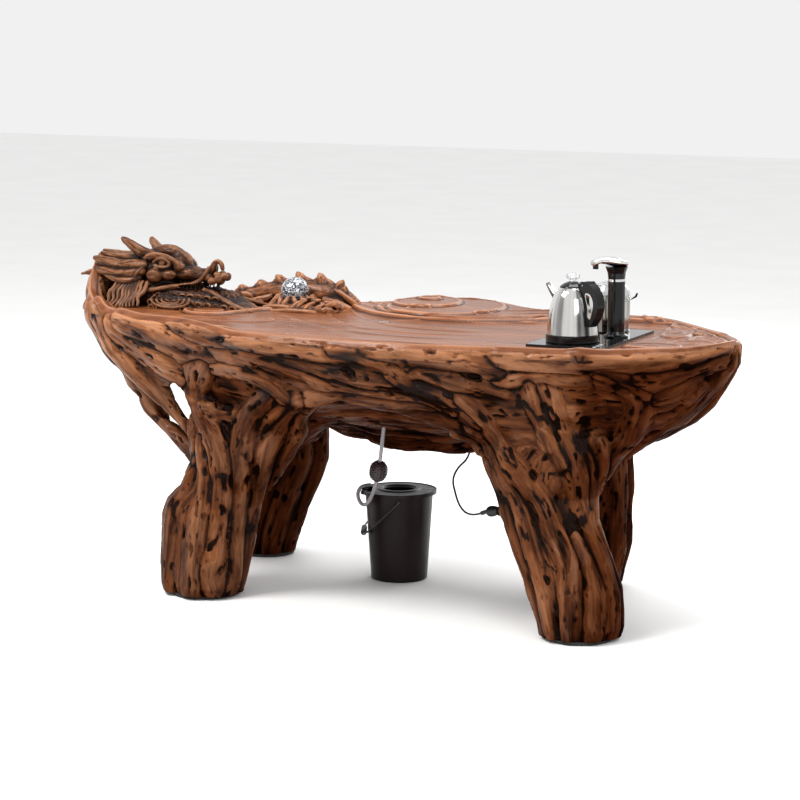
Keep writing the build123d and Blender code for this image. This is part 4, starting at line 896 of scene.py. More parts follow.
def carcass():
    X, Y = wood.xs[:, None], wood.ys[None, :]
    ZT = (720.0 + prow(X, Y)).astype(np.float32)
    for k, z in enumerate(wood.zs):
        a = np.full((len(wood.xs), len(wood.ys)), wood.band, np.float32)
        if z >= 430:
            kx, ky, cy = rows_at(BOWL, z)
            x = X / kx + 0 * Y
            y = (Y - cy) / ky + cy + 0 * X
            thin = np.clip((692.0 - z) / 34.0, 0, 1)
            a = (flat_at(PLAN_D, x, y) * min(kx, ky) + 9.0 * thin).astype(np.float32)
            if z > 690:
                # inside the raised prow the tea field stays level
                rim = flat_at(PLAN_D, X + 0 * Y, Y + 0 * X)
                inner = np.clip((-rim - 42.0) / 26.0, 0, 1)
                lid = ZT - (ZT - 720.0) * inner * inner * (3 - 2 * inner)
                a = smax(a, (z - lid).astype(np.float32), 16.0)
            arch = 548.0 - 88.0 * np.clip(np.abs(X + 5) / 300.0, 0, 1.3) ** 2.2
            side = np.clip((-Y - 130) / 190.0, 0, 1)
            low = 476.0 + side * (arch - 476.0)
            a = smax(a, (low - z).astype(np.float32) * 0.85, 34.0)
        if 340 <= z <= 520:
            cx, cy, rx, ry = rows_at(BELLY, z)
            q = np.sqrt(((X - cx) / rx) ** 2 + ((Y - cy) / ry) ** 2)
            b = smax((q - 1) * min(rx, ry) * 0.8, np.float32(376.0 - z), 12.0)
            if z > 490:
                b = np.maximum(b, z - 500)
            a = smin(a, b.astype(np.float32), 46.0)
        if z <= 540:
            for T in LEGS.values():
                cx, cy, rx, ry = rows_at(T, z)
                q = np.sqrt(((X - cx) / rx) ** 2 + ((Y - cy) / ry) ** 2)
                b = (q - 1) * min(rx, ry) * 0.9 + 18.0
                if z > 480:
                    b = np.maximum(b, (z - 500) * 1.2)
                a = smin(a, b.astype(np.float32), 44.0)
        wood.F[:, :, k] = a
    np.clip(wood.F, -wood.band, wood.band, out=wood.F)


carcass()


# ------------------------------------------------------------------ carving on the tea field
def closed_distance(pts, step=8.0):
    return sd_poly(_gx, _gy, catmull(np.array(pts, float), step, closed=True))[0]


def ellipse_pts(cx, cy, rx, ry, turn=0.0, n=28):
    t = np.linspace(0, 2 * math.pi, n, endpoint=False)
    c, s = math.cos(math.radians(turn)), math.sin(math.radians(turn))
    x, y = rx * np.cos(t), ry * np.sin(t)
    return [(cx + c * a - s * b, cy + s * a + c * b) for a, b in zip(x, y)]


def line_distance(pts, step=8.0):
    """Distance to an open curve, and how far along it, from 0 to 1."""
    Q = catmull(np.array([(*p, 0.0) for p in pts], float), step)
    d = np.full(_gx.shape, 1e9)
    u = np.zeros(_gx.shape)
    for i in range(len(Q) - 1):
        ax, ay = Q[i, :2]
        bx, by = Q[i + 1, :2]
        ex, ey = bx - ax, by - ay
        t = np.clip(((_gx - ax) * ex + (_gy - ay) * ey) / (ex * ex + ey * ey + 1e-9), 0, 1)
        q = np.hypot(_gx - ax - t * ex, _gy - ay - t * ey)
        m = q < d
        d[m] = q[m]
        u[m] = ((i + t) / (len(Q) - 1))[m]
    return d, u


def step_up(sd, height, edge=7.0):
    t = np.clip((-sd + edge * 0.5) / edge, 0, 1)
    return height * t * t * (3 - 2 * t)


def hump(d, width):
    t = np.clip(1 - np.abs(d) / width, 0, 1)
    return t * t * (3 - 2 * t)


def spiral(cx, cy, r0, r1, turns, start, sense=1):
    n = int(26 * turns) + 2
    out = []
    for i in range(n):
        t = i / (n - 1)
        a = math.radians(start) + sense * 2 * math.pi * turns * t
        r = r0 + (r1 - r0) * t
        out.append((cx + r * math.cos(a), cy + r * math.sin(a) * 0.86))
    return out


def relief_map():
    d = -PLAN_D
    R = np.zeros(_gx.shape)
    # bead and the quirk inside it
    R += 5.5 * hump(d - 21.0, 15.0) - 2.2 * hump(d - 41.0, 7.0) + 1.6 * hump(d - 52.0, 9.0)
    field_ = np.clip((d - 44.0) / 10.0, 0, 1)
    # cloud plateau along the rear, in steps
    plateau = closed_distance([(-300, 232), (-236, 130), (-122, 40), (0, 8), (120, 18), (250, 86), (345, 146), (440, 196),
                               (560, 208), (604, 246), (540, 282), (350, 286), (240, 294), (146, 352), (51, 416), (-47, 432),
                               (-117, 412), (-190, 348), (-250, 276)])
    cloud = step_up(plateau, 8.0, 11.0) + 1.1 * hump(plateau + 8.0, 6.0)
    steps = [(ellipse_pts(60, 196, 250, 176, 4), 2.5), (ellipse_pts(-2, 196, 158, 170, 8), 3.0),
             (ellipse_pts(-72, 232, 92, 106, 12), 3.5), (ellipse_pts(-88, 281, 33, 28, 0), 3.0)]
    for pts, hgt in steps:
        e = np.maximum(closed_distance(pts), plateau + 12.0)
        cloud += step_up(e, hgt, 6.0) + 1.8 * hump(e + 7.0, 7.0) - 1.4 * hump(e - 5.0, 6.0)
    # trailing scrolls of the large cloud
    for pts in ([(250, 110), (330, 168), (430, 214), (540, 226), (590, 244)], [(200, 140), (290, 196), (400, 246), (520, 258), (575, 252)],
                [(150, 170), (230, 230), (330, 262), (450, 272)], [(-280, 226), (-220, 160), (-150, 110), (-90, 96)],
                [(-262, 250), (-206, 200), (-160, 180)], spiral(-40, 120, 12, 44, 1.3, 200), spiral(150, 110, 10, 38, 1.3, 250)):
        dd, u = line_distance(pts)
        cloud += np.where(plateau < -6, 2.6 * hump(dd, 8.0) * np.sin(np.pi * np.clip(u, 0.02, 0.98)) ** 0.4, 0)
    R += cloud * field_
    # clouds at the right end: overlapping lobes, each with its own lip and curl
    lobes = [(600, 236, 74, 38, -8), (700, 176, 74, 58, -30), (772, 84, 74, 66, -30), (816, -30, 62, 74, 0), (800, -140, 66, 62, 20),
             (728, -216, 74, 42, 14), (700, 40, 44, 90, 10)]
    right = np.zeros(_gx.shape)
    for n, (cx, cy, rx, ry, turn) in enumerate(lobes):
        e = np.maximum(closed_distance(ellipse_pts(cx, cy, rx, ry, turn)), 26.0 - d)
        h = 4.0 + 1.6 * (n % 3)
        one = step_up(e, h, 6.0) + 2.4 * hump(e + 7.0, 7.0) - 1.6 * hump(e + 20.0, 6.0)
        right = np.where(e < -1, np.maximum(right * 0.25, one), np.maximum(right, one))
        dd, u = line_distance(spiral(cx, cy, 4, min(rx, ry) * 0.52, 1.25, 40 * n, 1 if n % 2 else -1))
        right += np.where(e < -14, 2.4 * hump(dd, 6.5), 0)
    R += 0.62 * right * np.clip((d - 20.0) / 12.0, 0, 1)
    # left cloud with its pointed tip
    left = closed_distance([(-640, -84), (-610, -122), (-556, -136), (-510, -112), (-480, -60), (-452, 4), (-430, 40), (-478, 26), (-530, -6), (-600, -16), (-636, -44)])
    inner = closed_distance(ellipse_pts(-566, -76, 42, 30, 8))
    R += (step_up(left, 4.5) + 2.4 * hump(left + 8.0, 8.0) + step_up(inner, 3.0) - 1.5 * hump(inner - 6.0, 6.0)) * field_
    # flowing ridge lines over the field
    flows = [
        ([(-292, 206), (-226, 92), (-128, -28), (8, -132), (150, -150), (280, -120)], 2.6, 11),
        ([(-80, -12), (98, 20), (210, 40), (317, 100), (400, 130)], 2.4, 10),
        ([(-330, 150), (-270, 40), (-190, -80), (-60, -190), (110, -220), (260, -190)], 2.2, 11),
        ([(-690, -170), (-600, -196), (-470, -214), (-380, -206), (-330, -170), (-350, -140), (-390, -146), (-380, -170)], 2.6, 9),
        ([(-700, -140), (-610, -160), (-520, -172), (-450, -160)], 2.0, 9),
        ([(-560, -262), (-420, -316), (-250, -370), (-60, -396), (140, -392), (330, -366)], 2.0, 12),
        ([(-420, 20), (-340, -60), (-220, -160), (-80, -250), (100, -290), (300, -270)], 1.8, 12),
        ([(200, 60), (330, 90), (420, 110), (520, 90), (640, 60)], 2.2, 10),
        ([(680, 230), (640, 150), (660, 60), (672, -40), (660, -150), (650, -250)], 2.2, 10),
        ([(-700, 40), (-640, 90), (-560, 120)], 2.0, 10),
        ([(-420, 196), (-360, 210), (-310, 224)], 2.0, 9),
    ]
    for pts, hgt, wid in flows:
        dd, u = line_distance(pts)
        R += hgt * hump(dd, wid) * np.clip(np.sin(np.pi * np.clip(u, 0.0, 1.0)) * 2.2, 0, 1) * (np.abs(cloud) < 1.0) * (right < 0.8) * field_
    # gently worn all over
    pts = np.stack([_gx.ravel() / 120.0, _gy.ravel() / 75.0, np.zeros(_gx.size)], 1)
    R += (1.3 * fbm(pts, 2, 77)).reshape(_gx.shape) * field_
    # level under the cooker and round the drain
    flat = np.clip((np.maximum(np.abs(_gx - 538) - 106, np.abs(_gy + 141) - 187)) / 26.0, 0, 1)
    R *= flat * flat * (3 - 2 * flat)
    dr = np.clip((np.hypot(_gx + 67.9, _gy + 50) - 26) / 26.0, 0, 1)
    R = R * dr - 0.0 * (1 - dr)
    return R


RELIEF = 1.25 * relief_map()

# runs of root wood over the carcass: x, y, z, radius
RUNS = {
    "A": ([(-860, -150, 716, 34), (-800, -180, 650, 34), (-745, -190, 598, 30), (-702, -188, 552, 25), (-664, -170, 508, 20), (-640, -165, 485, 17),
           (-608, -165, 452, 16), (-577, -172, 426, 16), (-545, -190, 400, 17), (-530, -205, 372, 16)], 16),
    "A2": ([(-905, -90, 715, 30), (-880, -80, 660, 30), (-850, -84, 610, 28), (-812, -66, 560, 28), (-790, -70, 530, 30), (-760, -70, 500, 26),
            (-735, -84, 462, 24), (-700, -100, 436, 22), (-660, -120, 412, 20), (-615, -140, 385, 22), (-570, -150, 350, 24)], 16),
    "A3": ([(-950, -10, 745, 26), (-938, -6, 695, 28), (-905, 0, 652, 27), (-870, 8, 610, 26), (-836, 10, 568, 26), (-812, 12, 526, 25),
            (-785, 10, 492, 21)], 18),
    "B": ([(-744, -230, 704, 26), (-610, -282, 688, 34), (-526, -300, 668, 38), (-455, -325, 656, 32), (-399, -352, 656, 22)], 16),
    "B2": ([(-799, -200, 684, 20), (-680, -240, 629, 30), (-599, -252, 599, 32), (-529, -255, 572, 28), (-483, -250, 538, 22)], 16),
    "B3": ([(-656, -228, 712, 18), (-501, -318, 704, 24), (-387, -368, 692, 24), (-296, -407, 673, 18)], 14),
    "C": ([(-434, -336, 656, 22), (-314, -398, 668, 24), (-205, -418, 657, 22), (-121, -419, 640, 20), (-40, -415, 617, 17),
           (52, -408, 598, 15), (143, -402, 589, 14), (239, -376, 571, 12)], 14),
    "C2": ([(-411, -326, 615, 18), (-297, -378, 616, 22), (-230, -382, 592, 22), (-197, -370, 558, 16)], 14),
    "D1": ([(-448, -308, 631, 34), (-500, -262, 560, 38), (-498, -240, 488, 38), (-445, -252, 424, 40), (-425, -258, 346, 36),
            (-432, -254, 247, 30), (-438, -260, 189, 28), (-447, -264, 130, 28), (-440, -292, 60, 30), (-430, -300, 6, 34)], 16),
    "D2": ([(-562, -192, 450, 22), (-549, -214, 375, 26), (-560, -224, 296, 28), (-570, -240, 246, 28), (-579, -258, 195, 26),
            (-584, -262, 129, 24), (-592, -258, 60, 26), (-590, -270, 6, 30)], 16),
    "D3": ([(-233, -368, 563, 16), (-324, -293, 503, 20), (-359, -275, 451, 22), (-374, -264, 370, 22), (-393, -242, 260, 20),
            (-410, -232, 152, 20), (-417, -232, 60, 24), (-404, -262, 6, 30)], 14),
    "D4": ([(-144, -376, 558, 14), (-264, -264, 469, 16), (-309, -243, 385, 18), (-355, -194, 281, 18), (-383, -176, 196, 18),
            (-406, -166, 112, 18), (-414, -172, 33, 22), (-408, -190, 6, 26)], 14),
    "D5": ([(-507, -236, 408, 18), (-474, -268, 311, 22), (-484, -280, 207, 22), (-496, -288, 102, 22), (-494, -300, 6, 30)], 14),
    "D6": ([(-150, -330, 530, 14), (-200, -260, 480, 14), (-240, -205, 429, 16), (-285, -190, 365, 16), (-330, -150, 290, 16), (-360, -130, 210, 16),
            (-390, -130, 120, 18), (-405, -140, 40, 22), (-410, -150, 6, 24)], 14),
    "D7": ([(-545, -225, 355, 22), (-590, -205, 330, 20), (-610, -185, 260, 22), (-618, -200, 190, 24), (-612, -215, 110, 24), (-602, -225, 40, 26),
            (-600, -232, 6, 26)], 14),
    "R": ([(-39 * 10, -180, 394, 20), (-300, -250, 470, 20), (-206, -330, 536, 20), (-120, -368, 564, 18), (-47, -390, 574, 17), (20, -405, 572, 16),
           (64, -410, 568, 16), (129, -410, 560, 16), (199, -406, 556, 16), (250, -378, 515, 18), (285, -310, 450, 18), (330, -270, 400, 18),
           (362, -262, 330, 18)], 16),
    "E1": ([(290, -372, 584, 16), (326, -336, 541, 20), (356, -285, 471, 22), (418, -303, 407, 24), (457, -308, 358, 24), (485, -305, 318, 22),
            (503, -302, 277, 22), (531, -306, 236, 22), (556, -312, 190, 22), (568, -328, 108, 26), (573, -340, 6, 30)], 14),
    "E2": ([(250, -300, 480, 18), (300, -262, 425, 18), (338, -256, 375, 20), (362, -262, 320, 20), (385, -270, 250, 20), (412, -282, 190, 18), (441, -291, 139, 20),
            (470, -302, 70, 22), (490, -330, 6, 28)], 14),
    "E3": ([(294, -320, 504, 14), (333, -287, 440, 18), (381, -285, 381, 20), (419, -297, 311, 20), (446, -310, 241, 20), (473, -320, 171, 20),
            (506, -334, 103, 22), (528, -344, 6, 30)], 14),
    "E5": ([(507, -359, 635, 22), (525, -306, 543, 30), (551, -290, 469, 32), (562, -263, 392, 30), (563, -240, 324, 26), (577, -234, 263, 24),
            (600, -230, 209, 24), (618, -234, 154, 26), (634, -240, 82, 28), (640, -262, 6, 30)], 16),
    "E6": ([(610, -270, 495, 20), (604, -220, 412, 24), (590, -196, 330, 24), (592, -190, 260, 22), (612, -196, 190, 24), (630, -208, 114, 26),
            (642, -226, 60, 26), (646, -240, 6, 28)], 14),
    "E7": ([(600, -366, 698, 22), (685, -322, 658, 28), (716, -269, 605, 32), (679, -222, 522, 30), (637, -210, 450, 26), (603, -187, 394, 20)], 16),
    "E8": ([(472, -370, 647, 20), (482, -328, 568, 26), (514, -302, 493, 26), (538, -295, 439, 22)], 14),
    "E9": ([(560, -300, 300, 14), (585, -290, 199, 18), (604, -300, 130, 22), (612, -316, 60, 24), (610, -322, 6, 28)], 12),
    "E10": ([(562, -300, 496, 14), (586, -258, 417, 16), (575, -225, 333, 16), (568, -250, 291, 12)], 12),
    "F1": ([(405, -394, 692, 18), (527, -378, 688, 22), (646, -353, 695, 24), (773, -287, 696, 26), (852, -227, 702, 24), (899, -120, 706, 20)], 14),
    "F2": ([(398, -377, 643, 16), (500, -372, 659, 20), (609, -356, 658, 18)], 12),
    "F3": ([(644, -348, 664, 22), (725, -295, 648, 28), (812, -255, 670, 28), (877, -190, 688, 26), (903, -112, 702, 18)], 14),
    "F4": ([(896, -100, 690, 22), (864, -132, 627, 26), (822, -154, 581, 28), (766, -149, 527, 28), (698, -140, 475, 26), (655, -150, 420, 24), (620, -170, 360, 24)], 18),
    "F5": ([(739, -260, 600, 16), (789, -244, 620, 20), (838, -228, 655, 20), (874, -204, 683, 14)], 12),
    "F6": ([(905, -60, 690, 24), (880, -50, 640, 26), (850, -60, 580, 28), (800, -80, 520, 28), (730, -90, 470, 28), (670, -110, 420, 26)], 18),
    "G1": ([(-330, -395, 668, 16), (-145, -427, 658, 18), (-35, -426, 637, 18), (57, -419, 620, 16), (149, -414, 615, 15), (220, -393, 592, 14),
            (272, -362, 557, 14)], 12),
    "G2": ([(-23, -451, 693, 14), (71, -449, 684, 16), (138, -437, 662, 18), (141, -420, 630, 18), (185, -405, 607, 16), (264, -374, 578, 16),
            (322, -324, 517, 16)], 12),
    "G3": ([(-516, -318, 703, 14), (-292, -412, 688, 16), (-24, -446, 686, 15), (163, -444, 690, 14), (310, -417, 681, 14), (403, -389, 662, 14)], 12),
    "G4": ([(208, -427, 655, 14), (276, -400, 636, 18), (342, -382, 628, 18), (405, -364, 610, 14)], 12),
    "H1": ([(-300, -150, 462, 16), (-251, -90, 420, 20), (-190, 20, 384, 22), (-110, 96, 370, 22), (0, 100, 372, 20), (110, 84, 386, 18),
            (230, 40, 420, 20), (330, -40, 440, 20)], 14),
    "H2": ([(-252, -120, 500, 14), (-201, -60, 455, 16), (-140, 20, 420, 18), (-40, 10, 414, 18), (75, 30, 410, 16), (200, 0, 440, 16), (300, -80, 470, 16)], 12),
    "H3": ([(-220, 210, 470, 20), (-160, 220, 430, 20), (-60, 232, 400, 22), (60, 226, 396, 20), (180, 210, 420, 20), (300, 200, 450, 20)], 14),
    # the back and the ends, out of the photograph's sight
    "K1": ([(-960, 60, 730, 30), (-930, 110, 660, 32), (-850, 160, 610, 34), (-730, 185, 560, 34), (-620, 200, 500, 34), (-560, 240, 430, 30)], 18),
    "K2": ([(-900, 160, 690, 26), (-780, 200, 650, 30), (-640, 212, 630, 30), (-500, 214, 610, 28), (-400, 216, 570, 26), (-330, 200, 520, 24)], 16),
    "K3": ([(-560, 222, 690, 24), (-430, 226, 680, 26), (-320, 240, 660, 26), (-230, 300, 650, 28), (-150, 370, 650, 26), (-60, 420, 650, 24),
            (60, 410, 640, 24), (150, 350, 630, 24), (250, 300, 620, 26), (340, 290, 580, 26), (390, 280, 520, 26)], 16),
    "K4": ([(-220, 320, 600, 24), (-130, 380, 590, 26), (-40, 400, 570, 26), (50, 380, 550, 24), (110, 330, 520, 22), (160, 280, 480, 22)], 14),
    "K5": ([(-260, 260, 560, 22), (-180, 320, 540, 22), (-90, 350, 520, 24), (0, 330, 490, 22), (60, 280, 460, 20)], 14),
    "K6": ([(250, 306, 690, 22), (380, 300, 690, 26), (520, 290, 680, 28), (640, 240, 680, 28), (740, 150, 680, 28), (830, 60, 690, 26)], 16),
    "K7": ([(420, 300, 640, 24), (520, 270, 620, 28), (610, 230, 600, 30), (690, 170, 590, 30), (760, 90, 600, 28), (830, 10, 630, 26), (870, -30, 660, 22)], 16),
    "K8": ([(400, 290, 560, 28), (480, 250, 545, 30), (560, 210, 530, 30), (640, 150, 520, 30), (700, 70, 520, 28), (760, -10, 540, 26)], 18),
    "K9": ([(-860, 60, 560, 28), (-800, 100, 530, 30), (-710, 120, 500, 30), (-630, 140, 470, 30), (-570, 190, 430, 28)], 16),
    "L1": ([(-600, 210, 480, 24), (-590, 290, 420, 26), (-600, 340, 330, 26), (-630, 350, 240, 24), (-650, 340, 150, 24), (-660, 350, 60, 26), (-655, 350, 6, 28)], 14),
    "L2": ([(-520, 220, 520, 26), (-500, 300, 440, 28), (-520, 348, 340, 28), (-560, 368, 240, 26), (-590, 376, 140, 26), (-606, 382, 50, 28), (-606, 380, 6, 30)], 14),
    "L3": ([(-430, 230, 520, 24), (-410, 280, 430, 26), (-430, 330, 340, 26), (-470, 352, 250, 26), (-520, 362, 160, 26), (-560, 372, 70, 28), (-566, 372, 6, 30)], 14),
    "L4": ([(-380, 180, 480, 22), (-390, 240, 400, 24), (-410, 280, 310, 24), (-450, 300, 220, 24), (-500, 300, 130, 24), (-530, 310, 50, 26), (-534, 312, 6, 28)], 14),
    "L5": ([(-460, 120, 470, 22), (-440, 170, 390, 24), (-440, 210, 300, 24), (-480, 220, 210, 24), (-520, 230, 120, 24), (-550, 240, 40, 26), (-556, 244, 6, 28)], 14),
    "L6": ([(-560, 140, 460, 24), (-590, 190, 380, 24), (-620, 240, 290, 24), (-640, 270, 190, 24), (-672, 290, 90, 26), (-676, 300, 6, 28)], 14),
    "L7": ([(-520, 130, 450, 22), (-520, 170, 360, 22), (-530, 205, 270, 22), (-565, 220, 180, 22), (-600, 228, 90, 24), (-612, 240, 6, 26)], 12),
    "M1": ([(330, 240, 520, 24), (320, 250, 420, 24), (318, 262, 320, 24), (312, 268, 220, 24), (302, 280, 120, 24), (296, 292, 40, 26), (300, 296, 6, 28)], 14),
    "M2": ([(380, 290, 520, 26), (372, 326, 420, 26), (362, 350, 320, 26), (350, 362, 220, 24), (338, 368, 120, 26), (330, 374, 40, 28), (332, 372, 6, 28)], 14),
    "M3": ([(460, 270, 520, 26), (452, 320, 420, 26), (430, 356, 320, 26), (420, 368, 220, 24), (408, 376, 120, 26), (396, 384, 40, 28), (396, 380, 6, 28)], 14),
    "M4": ([(520, 220, 500, 26), (500, 270, 410, 26), (490, 300, 320, 24), (484, 318, 220, 24), (470, 334, 120, 24), (452, 344, 40, 26), (450, 344, 6, 28)], 14),
    "M5": ([(520, 130, 470, 24), (500, 190, 390, 24), (486, 222, 300, 24), (480, 240, 210, 24), (468, 252, 120, 24), (456, 262, 40, 26), (452, 268, 6, 28)], 14),
    "M6": ([(430, 100, 470, 22), (420, 150, 390, 22), (412, 176, 300, 22), (404, 194, 210, 22), (392, 206, 120, 22), (372, 216, 40, 24), (370, 222, 6, 26)], 14),
    "M7": ([(340, 130, 470, 22), (340, 180, 380, 22), (336, 202, 290, 22), (330, 220, 200, 22), (322, 230, 110, 22), (310, 240, 40, 24), (312, 246, 6, 26)], 14),
    "P1": ([(-330, -60, 460, 22), (-320, -60, 380, 22), (-350, -70, 300, 22), (-370, -80, 210, 22), (-400, -100, 120, 22), (-412, -120, 40, 24), (-414, -124, 6, 26)], 14),
    "P2": ([(-420, 0, 460, 24), (-410, -20, 370, 22), (-450, -50, 280, 24), (-480, -80, 190, 24), (-490, -96, 100, 24), (-490, -112, 30, 26), (-490, -118, 6, 28)], 14),
    "P3": ([(-520, -40, 460, 24), (-500, -40, 370, 24), (-540, -70, 280, 24), (-575, -100, 190, 24), (-590, -120, 100, 24), (-585, -140, 30, 26), (-585, -146, 6, 28)], 14),
    "P4": ([(-600, -90, 440, 22), (-560, -110, 360, 24), (-590, -130, 280, 24), (-618, -150, 190, 24), (-622, -170, 100, 24), (-612, -190, 30, 26), (-610, -196, 6, 28)], 14),
    "Q1": ([(300, -90, 450, 22), (345, -110, 370, 22), (372, -130, 300, 22), (400, -150, 210, 22), (440, -180, 120, 24), (480, -210, 40, 24), (486, -216, 6, 26)], 14),
    "Q2": ([(420, -20, 460, 24), (440, -60, 380, 24), (450, -96, 290, 24), (480, -120, 200, 24), (510, -150, 110, 24), (540, -186, 30, 26), (544, -192, 6, 28)], 14),
    "Q3": ([(540, -40, 470, 24), (540, -80, 380, 24), (540, -110, 290, 24), (560, -130, 200, 24), (590, -160, 110, 24), (620, -200, 30, 26), (622, -206, 6, 28)], 14),
    "S1": ([(-300, -100, 520, 26), (-180, 60, 470, 26), (0, 160, 440, 26), (200, 120, 450, 26), (340, 20, 480, 26)], 18),
}
STRANDS = [Strand(p, 1.35 * k, 15.0) for p, k in RUNS.values()]

# burls and lumps: centre, half-axes, blend
BURLS = [
    ((372, -292, 388), (44, 34, 44), 12), ((-744, -92, 502), (40, 34, 26), 10), ((-500, -296, 640), (46, 40, 40), 16),
    ((-470, -270, 470), (44, 34, 52), 14), ((150, -420, 650), (46, 30, 34), 12), ((540, -318, 560), (42, 30, 48), 14),
    ((700, -285, 640), (46, 34, 42), 14), ((395, -395, 640), (40, 30, 34), 12), ((505, -332, 500), (34, 26, 40), 10),
    ((575, -250, 300), (34, 30, 44), 12), ((560, -300, 150), (34, 26, 60), 12), ((-430, -280, 250), (36, 26, 54), 12),
    ((-560, -230, 330), (34, 30, 44), 12), ((-470, -290, 80), (40, 30, 50), 12), ((-590, -240, 90), (30, 30, 48), 10),
    ((820, -190, 620), (44, 34, 40), 14), ((-300, -390, 640), (44, 28, 34), 14), ((-60, -425, 610), (40, 24, 26), 12),
    ((-640, 300, 200), (34, 40, 50), 12), ((-560, 350, 380), (42, 34, 46), 14), ((330, 320, 230), (34, 30, 50), 12),
    ((500, 260, 430), (40, 38, 44), 14), ((-90, 400, 600), (54, 34, 44), 16), ((620, 230, 560), (48, 44, 40), 16),
    ((-800, 140, 580), (48, 40, 42), 16), ((-420, 240, 560), (46, 30, 44), 14), ((-860, -60, 600), (40, 34, 40), 14),
]
FREE = ("A", "A2", "A3")
BASE = wood.F.copy()
for c, r, k in BURLS:
    wood.blob(c, r, k)
for key, st in zip(RUNS, STRANDS):
    if key not in FREE:
        wood.strand(st)
# the runs only swell the trunk so far
wood.F = smax(wood.F, BASE - np.float32(16.0), 10.0)
del BASE
for key, st in zip(RUNS, STRANDS):
    if key in FREE:
        wood.strand(st)
# the burl on the front right leg's inner rear side, and the knothole in it that takes the plug's pins
turn = np.array(((0.963, 0.27, 0.0), (-0.27, 0.963, 0.0), (0.0, 0.0, 1.0)))
wood.blob((378, -127, 272), (82, 40, 42), 16.0, turn)
wood.blob((318, -111, 266), (31, 29, 34), 12.0, turn)
wood.blob((289, -103, 262.5), (17, 10.5, 8.5), 2.0, turn, cut=True)

